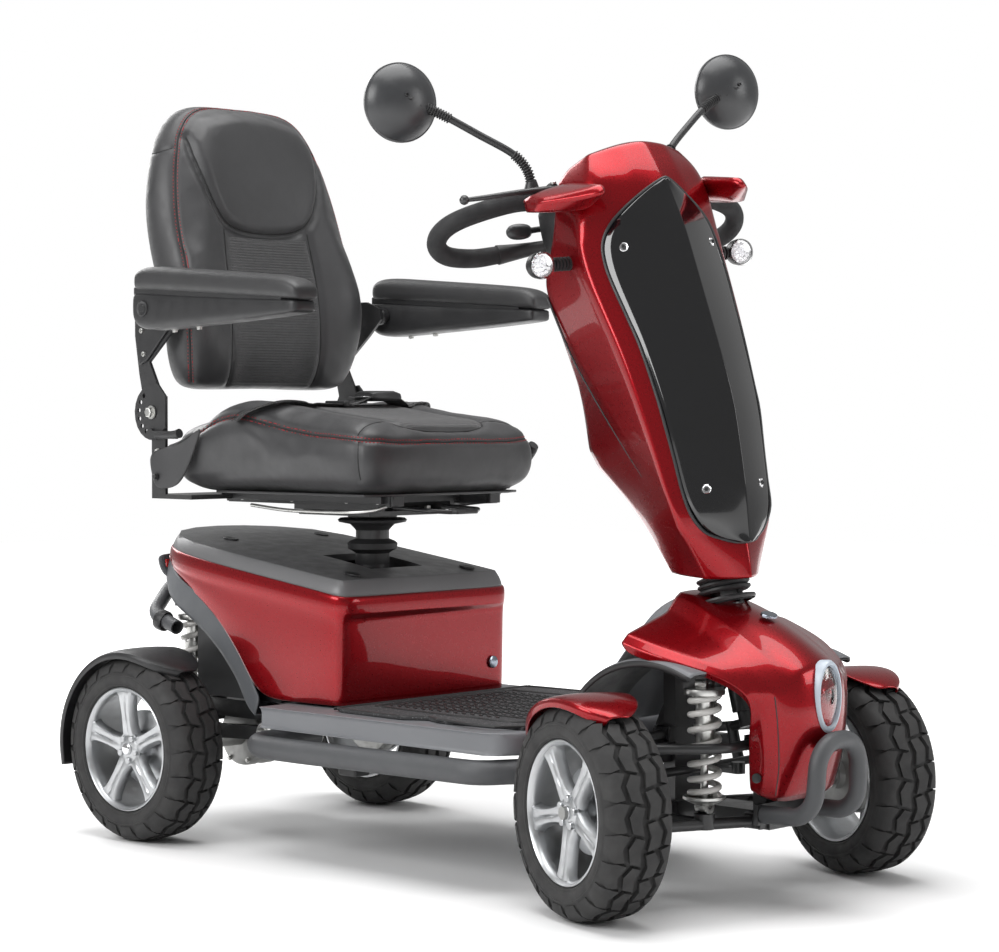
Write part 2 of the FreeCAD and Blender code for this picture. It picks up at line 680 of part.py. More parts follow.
def transaxle():
    """Motor, gearbox and axle tubes with a half shaft at each end."""
    gearbox = rod((REAR_X, -72, TYRE_R), (REAR_X, 0, TYRE_R), 56)
    motor = rod((REAR_X + 34, 0, TYRE_R), (REAR_X + 34, 78, TYRE_R), 44)
    tubes = rod((REAR_X, -228, TYRE_R), (REAR_X, 228, TYRE_R), 20)
    shafts = rod((REAR_X, -REAR_Y - 50, TYRE_R), (REAR_X, REAR_Y + 50, TYRE_R), AXLE_R)
    return fuse(gearbox, motor, tubes, shafts)


def rear_mudguards():
    """Black guards over the rear tyres, each on a stay from the fork."""
    guards = []
    for _, side in SIDES:
        inner_r, outer_r = TYRE_R + 11, TYRE_R + 15
        y0, y1 = REAR_Y - 62, REAR_Y + 62
        band = ring((REAR_X, side * y0, TYRE_R), (REAR_X, side * y1, TYRE_R), outer_r, inner_r)
        keep = side_plate([(REAR_X, TYRE_R), (REAR_X - 260, TYRE_R - 30), (REAR_X - 260, 420),
                           (REAR_X + 150, 420)], -500, 500)
        lo, hi = sorted((side * 156.5, side * (y0 + 3)))
        stay = box(REAR_X - 60, REAR_X - 44, lo, hi, 186, 190)
        up_lo, up_hi = sorted((side * y0, side * (y0 + 3)))
        upright_strip = box(REAR_X - 60, REAR_X - 44, up_lo, up_hi, 186, 334)
        guards.append(fuse(band.common(keep), stay, upright_strip))
    return group(*guards)


# ---- seat ----
def seat_swivel():
    """The turning seat stem with its top plate."""
    stem = rod((POST_X, 0, 420), (POST_X, 0, 584), POST_R)
    plate = box(POST_X - 90, POST_X + 90, -95, 95, 580, 588)
    collar = rod((POST_X, 0, 575), (POST_X, 0, 582), 44)
    return fuse(stem, plate, collar)


def seat_frame():
    """Slide rails, cross bars and the cushion pan, with an upright for the backrest each side."""
    parts = []
    for _, side in SIDES:
        parts.append(box(-500, -84, side * 120 - 14, side * 120 + 14, 600, 622))
        parts.append(box(-372, -150, side * 86 - 5, side * 86 + 5, 588.5, 612))
        parts.append(box(-590, -552, side * 236 - 3, side * 236 + 3, 606, 790))
    parts.append(box(-372, -352, -132, 132, 604, 618))
    parts.append(box(-170, -150, -132, 132, 604, 618))
    parts.append(box(-590, -480, -239, 239, 606, 614))
    parts.append(box(-520, -490, -134, 134, 606, 622))
    whole = fuse(*parts)
    return whole.cut(rod((HINGE.x, -260, HINGE.z), (HINGE.x, 260, HINGE.z), 6 + FIT))


def seat_cushion():
    """A plain closed form for the seat cushion."""
    side = [(-566, 648), (-550, 623), (-72, 623), (-46, 640), (-42, 704), (-60, 738),
            (-190, 752), (-365, 777), (-440, 774), (-500, 738), (-556, 732)]
    body = side_plate(side, -232, 232)
    front = both_sides([(206, 623), (232, 646), (232, 740), (200, 772), (150, 776)])
    body = body.common(front_plate(front, -580, 0))
    return body


def lap_belt():
    """Webbing across the cushion with the buckle body and its two rear anchors."""
    strap = box(-336, -290, -200, 120, 778, 780.5)
    buckle = box(-345, -282, 20, 96, 780, 800).cut(box(-330, -300, 40, 76, 790, 801))
    return fuse(strap, buckle)


def buckle_button():
    """The buckle's press button."""
    return box(-329, -301, 41, 75, 792, 798.5)


def back_frame():
    """Backrest plates on the hinge pins, joined behind the cushion."""
    parts = []
    for _, side in SIDES:
        y0, y1 = sorted((side * 240, side * 246))
        parts.append(side_plate([(-594, 742), (-554, 742), (-554, 790), (-588, 852), (-524, 906),
                                 (-490, 938), (-492, 958), (-530, 972), (-628, 972),
                                 (-628, 900), (-616, 830)], y0, y1))
        pin = rod((HINGE.x, side * 230, HINGE.z), (HINGE.x, side * 250, HINGE.z), 6)
        parts.append(pin)
        a0, a1 = sorted((side * 240, side * 262))
        parts.append(box(ARM_PIVOT.x - 10, ARM_PIVOT.x + 10, a0, a1,
                         ARM_PIVOT.z - 10, ARM_PIVOT.z + 10))
    bar = [(-622, -242, 930), (-640, -150, 936), (-640, 150, 936), (-622, 242, 930)]
    parts.append(bent_bar(bar, 30, 7))
    return fuse(*parts)


def back_cushion():
    """A plain closed form for the backrest cushion."""
    side = [(-560, 788), (-516, 792), (-500, 860), (-500, 960), (-546, 1120), (-596, 1300),
            (-622, 1340), (-660, 1346), (-684, 1320), (-676, 1200), (-654, 960), (-626, 950),
            (-606, 860), (-590, 790)]
    front = both_sides([(180, 788), (222, 830), (235, 930), (232, 1080), (200, 1250), (150, 1318),
                        (60, 1346)])
    body = side_plate(side, -240, 240).common(front_plate(front, -720, -480))
    return body.cut(box(-670, -612, -240, 240, 915, 962))


def armrest():
    """Left armrest: hinge boss, wedge-shaped base and the pad on it."""
    boss = rod((ARM_PIVOT.x, ARM_Y - 28, ARM_PIVOT.z), (ARM_PIVOT.x, ARM_Y + 28, ARM_PIVOT.z), 16)
    wedge = side_plate([(-545, 926), (-545, 973), (-520, 979), (-114, 947), (-124, 927),
                        (-500, 905)], ARM_Y - 28, ARM_Y + 28)
    pad = side_plate([(-540, 976), (-540, 1008), (-506, 1018), (-146, 990), (-112, 976),
                      (-112, 946)], ARM_Y - 32, ARM_Y + 32)
    return fuse(boss, wedge, pad)


def recline_lever():
    """The small lever that frees the backrest hinge on the right."""
    hub = rod((-574, -251, 722), (-574, -257, 722), 10)
    blade = box(-574, -500, -257, -252, 714, 728)
    return fuse(hub, blade)


def swivel_lever():
    """The long grip lever that frees the seat to turn."""
    grip_y = 245
    path = [(-262, 100, 593), (-246, 206, 593), (-200, grip_y, 600), (-110, grip_y, 690)]
    bar = bent_bar(path, 26, 5)
    grip = rod((-170, grip_y, 630), (-106, grip_y, 694), 12)
    return fuse(bar, grip)


def slide_lever():
    """The wire lever under the front edge that frees the slide rails."""
    path = [(-150, -60, 596), (-60, -60, 592), (-40, -30, 590), (-40, 30, 590), (-60, 60, 592),
            (-150, 60, 596)]
    return bent_bar(path, 14, 4)


# ---- the whole scooter ----
def export(name, shape):
    """Writes one node and reports anything that isn't a closed solid."""
    volumes = [solid.Volume for solid in shape.Solids]
    if not volumes or min(volumes) <= 0 or not shape.isValid():
        print("CHECK", name, len(volumes), shape.isValid())
    shape.exportStep(os.path.join("parts", name + ".step"))


def main():
    os.makedirs("parts", exist_ok=True)
    nodes = {
        "chassis_frame": chassis_frame(), "outer_tubes": outer_tubes(),
        "front_cowl": front_cowl(), "arch_liners": arch_liners(), "headlight": headlight(),
        "floor_tray": floor_tray(), "floor_mat": floor_mat(), "rear_shell": rear_shell(),
        "deck_cover": deck_cover(), "rear_arch_trims": rear_arch_trims(),
        "battery_pack": battery_pack(), "rear_shocks": rear_shocks(),
        "swing_arm": swing_arm(), "transaxle": transaxle(), "rear_mudguards": rear_mudguards(),
        "seat_swivel": seat_swivel(), "seat_frame": seat_frame(), "seat_cushion": seat_cushion(),
        "lap_belt": lap_belt(), "buckle_button": buckle_button(), "back_frame": back_frame(),
        "back_cushion": back_cushion(), "recline_lever": recline_lever(),
        "swivel_lever": swivel_lever(), "slide_lever": slide_lever(),
    }
    turned = {
        "steering_column": steering_column(), "tiller_bellows": tiller_bellows(),
        "tiller_core": tiller_core().cut(handlebar()), "tiller_cover": tiller_cover(),
        "tiller_panel": tiller_panel(), "handlebar": handlebar(),
        "indicator_lamps": indicator_lamps(), "wigwag_lever": wigwag_lever(),
        "brake_lever": brake_lever(), "speed_dial": speed_dial(),
        "mirror_left": wing_mirror(), "mirror_right": mirror_y(wing_mirror()),
    }
    for name, shape in turned.items():
        nodes[name] = steered(shape)
    pin = along_column(-208, -60)
    swing = pin.sub(TILT_PIVOT)
    turned_pin = FreeCAD.Rotation(column_axis(), STEER_REST).multVec(swing).add(TILT_PIVOT)
    nodes["track_rod"] = track_rod().translated(turned_pin - pin)
    for name, side in SIDES:
        nodes["lower_arm_" + name] = on_side(lower_arm(), side)
        nodes["upper_arm_" + name] = on_side(upper_arm(), side)
        nodes["upright_" + name] = on_side(upright(), side)
        nodes["front_shock_" + name] = front_shock(side)
        nodes["knuckle_" + name] = wheel_steered(on_side(knuckle(), side), side)
        nodes["front_fender_" + name] = wheel_steered(on_side(front_fender(), side), side)
        front, rear = V(FRONT_X, side * FRONT_Y, TYRE_R), V(REAR_X, side * REAR_Y, TYRE_R)
        nodes["front_rim_" + name] = wheel_steered(rim(front, side), side)
        nodes["front_tyre_" + name] = wheel_steered(tyre(front), side)
        nodes["rear_rim_" + name] = rim(rear, side)
        nodes["rear_tyre_" + name] = tyre(rear)
        nodes["armrest_" + name] = on_side(armrest(), side)
    for name, shape in nodes.items():
        export(name, shape)


main()
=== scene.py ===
import bmesh
import bpy
import json
import math
from mathutils import Matrix, Vector, bvhtree, kdtree


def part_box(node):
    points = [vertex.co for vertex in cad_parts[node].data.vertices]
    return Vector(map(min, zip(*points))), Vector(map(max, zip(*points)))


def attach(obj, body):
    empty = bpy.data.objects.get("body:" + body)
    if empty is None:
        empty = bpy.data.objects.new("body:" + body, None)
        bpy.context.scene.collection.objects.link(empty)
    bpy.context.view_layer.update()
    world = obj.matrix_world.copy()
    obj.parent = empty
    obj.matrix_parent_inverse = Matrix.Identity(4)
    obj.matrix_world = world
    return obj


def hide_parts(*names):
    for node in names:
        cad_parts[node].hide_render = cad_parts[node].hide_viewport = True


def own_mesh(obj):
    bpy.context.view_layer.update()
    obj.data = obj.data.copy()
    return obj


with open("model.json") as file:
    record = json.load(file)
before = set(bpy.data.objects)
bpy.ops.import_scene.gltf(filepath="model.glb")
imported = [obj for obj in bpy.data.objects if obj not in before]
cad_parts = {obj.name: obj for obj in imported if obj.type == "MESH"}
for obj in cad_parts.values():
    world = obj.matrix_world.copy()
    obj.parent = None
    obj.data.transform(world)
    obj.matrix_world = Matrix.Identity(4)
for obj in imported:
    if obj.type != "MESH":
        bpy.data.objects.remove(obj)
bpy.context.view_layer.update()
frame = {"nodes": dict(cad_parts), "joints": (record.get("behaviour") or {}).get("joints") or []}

# The looks of a mobility scooter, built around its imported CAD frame.
# Shapes are written in millimetres along the frame's axes and turned into metres by MM.
MM = 0.001
SIDES = (("right", -1), ("left", 1))
JOINTS = {joint["name"]: joint for joint in frame["joints"]}


def pivot(joint):
    """A joint's place in millimetres."""
    return Vector(JOINTS[joint]["pos_m"]) / MM


def centre(node):
    """The middle of a CAD node's box in millimetres."""
    low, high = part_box(node)
    return (low + high) / 2 / MM


COLUMN = pivot("steering")
COLUMN_AXIS = Vector(JOINTS["steering"]["axis"])
STEER = -math.acos(-JOINTS["tiller_tilt"]["axis"][1])
WHEEL_TURN = -math.asin(JOINTS["front_wheel_left_spin"]["axis"][0])
AXLE_Z = centre("rear_tyre_left").z
TYRE_R = AXLE_Z
STEERED = Matrix.Translation(COLUMN) @ Matrix.Rotation(STEER, 4,
                                                       COLUMN_AXIS) @ Matrix.Translation(-COLUMN)


# ---- mesh tools: a mesh is a pair (vertices in mm, faces) ----
TO_Y = Matrix.Rotation(math.radians(-90), 4, "X")   # lays a mesh made about Z along Y


def grid(rows, wrap_rows=False, wrap_cols=False):
    """Quads over rows of points; all rows have the same length."""
    count, width = len(rows), len(rows[0])
    verts = [Vector(p) for row in rows for p in row]
    faces = []
    for r in range(count if wrap_rows else count - 1):
        for c in range(width if wrap_cols else width - 1):
            r2, c2 = (r + 1) % count, (c + 1) % width
            faces.append((r * width + c, r * width + c2, r2 * width + c2, r2 * width + c))
    return verts, faces


def lathe(profile, segments=48):
    """A profile of (radius, height) turned about Z."""
    rows = []
    for k in range(segments):
        a = 2 * math.pi * k / segments
        rows.append([(r * math.cos(a), r * math.sin(a), h) for r, h in profile])
    return grid(rows, wrap_rows=True)


def capped(rows):
    """A skin over closed rows, shut at both ends."""
    verts, faces = grid(rows, wrap_cols=True)
    width = len(rows[0])
    faces.append(tuple(range(width)))
    faces.append(tuple(len(verts) - 1 - i for i in range(width)))
    return verts, faces


def smooth_path(points, steps=8, closed=False):
    """Catmull-Rom points through a short list."""
    pts = [Vector(p) for p in points]
    count = len(pts)
    out = []
    for i in range(count if closed else count - 1):
        if closed:
            a, b, c, d = (pts[(i + k) % count] for k in (-1, 0, 1, 2))
        else:
            b, c = pts[i], pts[i + 1]
            a = pts[i - 1] if i else b * 2 - c
            d = pts[i + 2] if i + 2 < count else c * 2 - b
        for k in range(steps):
            t = k / steps
            out.append(0.5 * (2 * b + (c - a) * t + (2 * a - 5 * b + 4 * c - d) * t * t
                              + (3 * b - 3 * c + d - a) * t ** 3))
    if not closed:
        out.append(pts[-1])
    return out


def frames(path, up=(0, 0, 1), closed=False):
    """A side and a rise direction at each point, carried along without twist."""
    side, out = None, []
    last = len(path) - 1
    for i in range(len(path)):
        ahead = path[(i + 1) % len(path)] if closed else path[min(i + 1, last)]
        behind = path[i - 1] if closed or i else path[0]
        way = (ahead - behind).normalized()
        if side is None:
            side = way.cross(Vector(up))
            if side.length < 1e-4:
                side = way.cross(Vector((1, 0, 0)))
        side = (side - way * side.dot(way)).normalized()
        out.append((side, side.cross(way).normalized()))
    return out


def tube(path, radius, sides=14, closed=False, up=(0, 0, 1)):
    """A round tube; the radius is a number or a function of the share travelled."""
    rows = []
    for i, (p, (side, rise)) in enumerate(zip(path, frames(path, up, closed))):
        r = radius(i / (len(path) - 1)) if callable(radius) else radius
        rows.append([p + side * (r * math.cos(2 * math.pi * k / sides))
                     + rise * (r * math.sin(2 * math.pi * k / sides)) for k in range(sides)])
    return grid(rows, wrap_rows=True, wrap_cols=True) if closed else capped(rows)


def ribbon(path, section, up=(0, 0, 1)):
    """A section of (side, rise) offsets carried along a path."""
    rows = [[p + side * a + rise * b for a, b in section]
            for p, (side, rise) in zip(path, frames(path, up))]
    return capped(rows)


def block(x0, x1, y0, y1, z0, z1):
    """A box."""
    rows = [[(x, y0, z0), (x, y1, z0), (x, y1, z1), (x, y0, z1)] for x in (x0, x1)]
    return capped(rows)


def plate(outline, depth, axis="y", start=0.0):
    """A flat outline given thickness along one axis."""
    def point(a, b, h):
        return {"y": (a, h, b), "z": (a, b, h), "x": (h, a, b)}[axis]
    return capped([[point(a, b, h) for a, b in outline] for h in (start, start + depth)])


def moved(mesh, matrix):
    """A mesh under a matrix."""
    verts, faces = mesh
    return [matrix @ Vector(v) for v in verts], faces


def shifted(mesh, x, y, z):
    """A mesh moved along the axes."""
    return moved(mesh, Matrix.Translation((x, y, z)))


def posed(at, *turns):
    """A placing matrix: moved to a point, then turned by pairs of degrees and axis."""
    matrix = Matrix.Translation(at)
    for degrees, axis in turns:
        matrix = matrix @ Matrix.Rotation(math.radians(degrees), 4, axis)
    return matrix


def pointed(mesh, at, way):
    """A mesh modelled about Z, turned to a direction and placed."""
    turn = Vector((0, 0, 1)).rotation_difference(Vector(way)).to_matrix().to_4x4()
    return moved(mesh, Matrix.Translation(at) @ turn)


def mirrored(mesh):
    """A mesh on the other side of the XZ plane."""
    verts, faces = mesh
    return [Vector((v[0], -v[1], v[2])) for v in verts], [tuple(reversed(f)) for f in faces]


def sided(mesh, side):
    """A piece modelled on the left, for the side asked for."""
    return mesh if side > 0 else mirrored(mesh)


def joined(*meshes):
    """Several meshes as one."""
    verts, faces = [], []
    for part_verts, part_faces in meshes:
        base = len(verts)
        verts += [Vector(v) for v in part_verts]
        faces += [tuple(i + base for i in f) for f in part_faces]
    return verts, faces


def bolt(at, way, size=6.0):
    """A hexagon head on a washer."""
    washer = lathe([(0, 0), (size * 1.35, 0), (size * 1.35, size * 0.25), (0, size * 0.25)], 24)
    head = lathe([(0, 0), (size, 0), (size, size * 0.85), (size * 0.8, size), (0, size)], 6)
    return pointed(joined(washer, shifted(head, 0, 0, size * 0.2)), at, way)


def socket_screw(at, way, size=6.0):
    """A round cap screw with a sunk socket."""
    profile = [(0, 0), (size, 0), (size, size * 0.7), (size * 0.88, size * 0.85),
               (size * 0.5, size * 0.85), (size * 0.5, size * 0.35), (0, size * 0.35)]
    return pointed(lathe(profile, 24), at, way)


def spot(point):
    """A vertex's place, rounded so that two lists can be matched."""
    return tuple(round(c, 1) + 0.0 for c in point)


def symmetric(rows):
    """Rows given from the centre line outwards, widened to both sides."""
    return [[(x, -y, z) for x, y, z in reversed(row[1:])] + list(row) for row in rows]


def half_ring(points):
    """A closed ring out of the points of one half, the first and last on the centre line."""
    return list(points) + [(x, -y, z) for x, y, z in reversed(points[1:-1])]


def carried_over(points):
    """A route that ends on the centre line, carried on over the other side."""
    return list(points) + [(x, -y, z) for x, y, z in reversed(points[:-1])]


def oval(wide, tall, height, count=32):
    """A ring of points round an ellipse, at a height."""
    turns = [2 * math.pi * k / count for k in range(count)]
    return [(wide * math.cos(a), tall * math.sin(a), height) for a in turns]


def crease_lines(rows, columns=None, across=None):
    """Crease polylines along columns and rows of a half cage, on both sides."""
    lines = []
    for c, strength in (columns or {}).items():
        line = [row[c] for row in rows]
        lines += [(line, strength), ([(x, -y, z) for x, y, z in line], strength)]
    for r, strength in (across or {}).items():
        line = list(rows[r])
        lines += [(line, strength), ([(x, -y, z) for x, y, z in line], strength)]
    return lines


def placed_lines(lines, matrix):
    """Crease polylines under a matrix."""
    return [([matrix @ Vector(p) for p in line], strength) for line, strength in lines]


def carved(obj, *cutters):
    """Cuts holes in an object with closed meshes, and keeps the result as its mesh."""
    for mesh in cutters:
        data = bpy.data.meshes.new("cutter")
        data.from_pydata([Vector(v) * MM for v in mesh[0]], [], mesh[1])
        bm = bmesh.new()
        bm.from_mesh(data)
        bmesh.ops.remove_doubles(bm, verts=bm.verts, dist=0.00002)
        bmesh.ops.recalc_face_normals(bm, faces=bm.faces)
        bm.to_mesh(data)
        bm.free()
        cutter = bpy.data.objects.new("cutter", data)
        bpy.context.scene.collection.objects.link(cutter)
        modifier = obj.modifiers.new("cut", "BOOLEAN")
        modifier.object = cutter
        modifier.solver = "EXACT"
        graph = bpy.context.evaluated_depsgraph_get()
        result = bpy.data.meshes.new_from_object(obj.evaluated_get(graph))
        obj.modifiers.clear()
        obj.data = result
        bpy.data.objects.remove(cutter)
    return obj


def piece(name, mesh, finish, body, slot=None, stands_for=(), bevel=0.0, levels=0, wall=0.0,
          creases=(), sharp=38, flat=False):
    """Makes an object out of a mesh and lets it ride a body."""
    verts, faces = mesh
    data = bpy.data.meshes.new(name)
    data.from_pydata([Vector(v) * MM for v in verts], [], faces)
    bm = bmesh.new()
    bm.from_mesh(data)
    bmesh.ops.remove_doubles(bm, verts=bm.verts, dist=0.00002)
    bmesh.ops.dissolve_degenerate(bm, edges=bm.edges, dist=0.00001)
    bmesh.ops.recalc_face_normals(bm, faces=bm.faces)
    if creases:
        layer = bm.edges.layers.float.new("crease_edge")
        marked = {}
        for line, strength in creases:
            for a, b in zip(line, line[1:]):
                marked[frozenset((spot(a), spot(b)))] = strength
        for edge in bm.edges:
            edge[layer] = marked.get(frozenset(spot(v.co / MM) for v in edge.verts), 0.0)
    bm.to_mesh(data)
    bm.free()
    for polygon in data.polygons:
        polygon.use_smooth = not flat
    if not levels and not flat:
        data.set_sharp_from_angle(angle=math.radians(sharp))
    obj = bpy.data.objects.new(name, data)
    bpy.context.scene.collection.objects.link(obj)
    data.materials.append(finish)
    if bevel:
        modifier = obj.modifiers.new("rounded edges", "BEVEL")
        modifier.width = bevel * MM
        modifier.segments = 2
        modifier.limit_method = "ANGLE"
        modifier.angle_limit = math.radians(38)
        modifier.harden_normals = False
    if levels:
        modifier = obj.modifiers.new("smooth skin", "SUBSURF")
        modifier.levels = levels
        modifier.render_levels = levels
    if wall:
        modifier = obj.modifiers.new("wall", "SOLIDIFY")
        modifier.thickness = wall * MM
        modifier.offset = -1
    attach(obj, body)
    if stands_for:
        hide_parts(*stands_for)
    return obj


def dashes(path, length, gap, radius):
    """A row of short stitches along a path of points."""
    out, travelled, on = [], 0.0, []
    for a, b in zip(path, path[1:]):
        step = (b - a).length
        if travelled % (length + gap) < length:
            on.append(a)
        elif len(on) > 1:
            out.append(tube(on, radius, 5))
            on = []
        else:
            on = []
        travelled += step
    if len(on) > 1:
        out.append(tube(on, radius, 5))
    return joined(*out)


# ---- materials ----
class Nodes:
    """A short way to write a node tree."""

    def __init__(self, name):
        self.mat = bpy.data.materials.new(name)
        self.mat.use_nodes = True
        self.tree = self.mat.node_tree
        self.shader = self.tree.nodes["Principled BSDF"]
        self.place = self.add("ShaderNodeTexCoord").outputs["Object"]

    def add(self, kind, **values):
        node = self.tree.nodes.new(kind)
        for key, value in values.items():
            setattr(node, key, value)
        return node

    def link(self, source, target):
        self.tree.links.new(source, target)

    def noise(self, scale, detail=3.0, rough=0.5, stretch=None):
        node = self.add("ShaderNodeTexNoise")
        node.inputs["Scale"].default_value = scale
        node.inputs["Detail"].default_value = detail
        node.inputs["Roughness"].default_value = rough
        self.link(self.stretched(stretch), node.inputs["Vector"])
        return node.outputs["Fac"]

    def stretched(self, stretch):
        if not stretch:
            return self.place
        node = self.add("ShaderNodeMapping")
        node.inputs["Scale"].default_value = stretch
        self.link(self.place, node.inputs["Vector"])
        return node.outputs["Vector"]

    def cells(self, scale, feature="F1", stretch=None):
        node = self.add("ShaderNodeTexVoronoi", feature=feature)
        node.inputs["Scale"].default_value = scale
        self.link(self.stretched(stretch), node.inputs["Vector"])
        return node.outputs["Distance"]

    def wave(self, scale, direction, distortion=0.0):
        node = self.add("ShaderNodeTexWave", bands_direction=direction)
        node.inputs["Scale"].default_value = scale
        node.inputs["Distortion"].default_value = distortion
        self.link(self.place, node.inputs["Vector"])
        return node.outputs["Fac"]

    def span(self, value, low, high, from_low=0.0, from_high=1.0):
        node = self.add("ShaderNodeMapRange")
        for key, number in (("From Min", from_low), ("From Max", from_high), ("To Min", low),
                            ("To Max", high)):
            node.inputs[key].default_value = number
        self.link(value, node.inputs["Value"])
        return node.outputs["Result"]

    def mix(self, factor, first, second):
        node = self.add("ShaderNodeMix", data_type="RGBA")
        self.link(factor, node.inputs[0])
        for socket, colour in ((node.inputs[6], first), (node.inputs[7], second)):
            if isinstance(colour, tuple):
                socket.default_value = (*colour, 1)
            else:
                self.link(colour, socket)
        return node.outputs[2]

    def colour(self, value):
        if isinstance(value, tuple):
            self.shader.inputs["Base Color"].default_value = (*value, 1)
        else:
            self.link(value, self.shader.inputs["Base Color"])

    def rough(self, low, high, scale=30.0):
        self.link(self.span(self.noise(scale, 4.0), low, high, 0.3, 0.7),
                  self.shader.inputs["Roughness"])

    def bump(self, height, depth_mm, strength=1.0):
        """Adds a layer of relief of that depth."""
        node = self.add("ShaderNodeBump")
        node.inputs["Distance"].default_value = depth_mm * MM
        node.inputs["Strength"].default_value = strength
        self.link(height, node.inputs["Height"])
        before = self.shader.inputs["Normal"]
        if before.is_linked:
            self.link(before.links[0].from_socket, node.inputs["Normal"])
        self.link(node.outputs["Normal"], before)

    def set(self, **values):
        for key, value in values.items():
            self.shader.inputs[key.replace("_", " ")].default_value = value
        return self


def plastic(name, colour, rough, grain_mm=0.06, grain=900.0, spread=0.25, coat=0.0):
    """Moulded plastic: fine grain, a little mottling, uneven gloss."""
    n = Nodes(name)
    low = tuple(c * (1 - spread) for c in colour)
    high = tuple(min(1.0, c * (1 + spread)) for c in colour)
    n.colour(n.mix(n.noise(9.0, 5.0), low, high))
    n.rough(rough * 0.85, min(1.0, rough * 1.18), 40.0)
    n.bump(n.cells(grain), grain_mm)
    if coat:
        n.set(Coat_Weight=coat, Coat_Roughness=0.05)
    return n.mat


def red_paint():
    """Candy red over a metallic base, under clear lacquer."""
    n = Nodes("candy_red_paint")
    flakes = n.cells(2600.0)
    base = n.mix(n.noise(4.0, 3.0), (0.185, 0.0012, 0.004), (0.235, 0.0018, 0.0055))
    n.colour(n.mix(n.span(flakes, 0.0, 1.0, 0.2, 0.6), base, (0.255, 0.0022, 0.006)))
    n.rough(0.26, 0.34, 300.0)
    n.bump(n.noise(1800.0, 2.0), 0.006)
    n.bump(n.noise(40.0, 2.0), 0.03)
    n.set(Metallic=0.72, Specular_IOR_Level=0.15, Coat_Weight=0.6, Coat_Roughness=0.03, Coat_IOR=1.42)
    return n.mat


def leather(name="black_leather", wrinkle=0.5):
    """Black grained leather with soft creases and a slight sheen."""
    n = Nodes(name)
    n.colour(n.mix(n.noise(14.0, 6.0), (0.018, 0.018, 0.019), (0.036, 0.036, 0.038)))
    n.rough(0.38, 0.52, 60.0)
    n.bump(n.cells(750.0, "DISTANCE_TO_EDGE"), 0.10)
    n.bump(n.noise(2200.0, 2.0), 0.05)
    n.bump(n.noise(22.0, 4.0, 0.6), wrinkle)
    n.set(Sheen_Weight=0.12, Sheen_Roughness=0.4)
    return n.mat


def ribbed_cloth():
    """Perforated centre panel fabric: fine weave over the sewn ribs, with painted shade in the weave's low
    lines.
    """
    n = Nodes("ribbed_seat_fabric")
    # painted shade: the colour bands follow the same wave as the bump, so the weave's low lines are darker
    # and its raised threads lighter
    n.colour(n.mix(n.wave(420.0, "Y"), (0.016, 0.016, 0.017), (0.042, 0.042, 0.044)))
    n.rough(0.55, 0.7, 90.0)
    n.bump(n.wave(420.0, "Y"), 0.12)
    n.bump(n.wave(420.0, "Z"), 0.12)
    n.set(Sheen_Weight=0.25)
    return n.mat


def mat_rubber():
    """Dark rubber flecked with light crumbs."""
    n = Nodes("flecked_mat_rubber")
    fleck = n.span(n.cells(330.0), 1.0, 0.0, 0.14, 0.30)
    worn = n.span(n.noise(210.0, 3.0), 0.0, 1.0, 0.42, 0.6)
    gate = n.add("ShaderNodeMath", operation="MULTIPLY")
    n.link(fleck, gate.inputs[0])
    n.link(worn, gate.inputs[1])
    n.colour(n.mix(gate.outputs[0], (0.035, 0.035, 0.037), (0.34, 0.34, 0.35)))
    n.rough(0.75, 0.95, 200.0)
    n.bump(n.noise(420.0, 4.0), 0.5)
    return n.mat


def metal(name, colour, rough, brushed=None, spread=0.12, speck=0.0):
    """Bare or painted metal with fine scratches."""
    n = Nodes(name)
    low = tuple(c * (1 - spread) for c in colour)
    n.colour(n.mix(n.noise(25.0, 6.0), low, colour))
    n.rough(rough * 0.8, rough * 1.25, 90.0)
    n.bump(n.noise(700.0, 3.0, 0.6, brushed), 0.02)
    if speck:
        n.bump(n.noise(160.0, 3.0), speck)
    n.set(Metallic=1.0)
    return n.mat


def clear_lens(name, tint=(1, 1, 1)):
    """Clear moulded lens."""
    n = Nodes(name)
    n.colour(tint)
    n.rough(0.02, 0.07, 50.0)
    n.bump(n.noise(60.0), 0.02)
    n.set(Transmission_Weight=1.0, IOR=1.49)
    return n.mat


def glow(name, colour, strength):
    """A lamp chip behind a lens."""
    n = Nodes(name)
    n.colour(n.mix(n.cells(400.0), colour, tuple(c * 0.7 for c in colour)))
    n.set(Emission_Color=(*colour, 1), Emission_Strength=strength)
    return n.mat


def tyre_rubber():
    """Tyre rubber of slightly uneven tone, with moulded texture."""
    n = Nodes("tyre_rubber")
    n.colour(n.mix(n.noise(30.0, 6.0), (0.016, 0.016, 0.017), (0.045, 0.044, 0.043)))
    n.rough(0.62, 0.85, 50.0)
    n.bump(n.noise(500.0, 4.0), 0.12)
    n.set(Specular_IOR_Level=0.35)
    return n.mat


RED = red_paint()
LEATHER = leather()
RIBBED = ribbed_cloth()
STITCH_RED = plastic("red_thread", (0.30, 0.01, 0.015), 0.7, 0.05, 3000.0)
STITCH_BLACK = plastic("black_thread", (0.012, 0.012, 0.012), 0.8, 0.05, 3000.0)
TYRE = tyre_rubber()
ALLOY = metal("silver_alloy", (0.50, 0.51, 0.52), 0.36, (1, 1, 1), 0.06)
BLACK_STEEL = plastic("black_powder_coat", (0.018, 0.018, 0.019), 0.38, 0.10, 1500.0, coat=0.25)
DARK_TUBE = plastic("textured_grey_coat", (0.060, 0.062, 0.066), 0.46, 0.16, 1100.0)
ZINC = metal("zinc_plated_steel", (0.62, 0.62, 0.60), 0.33, (1, 1, 4), 0.2)
CHROME = metal("chrome", (0.82, 0.82, 0.83), 0.10, None, 0.05)
SPRING_WHITE = plastic("silver_spring_paint", (0.55, 0.54, 0.52), 0.32, 0.03, 900.0, 0.1, 0.4)
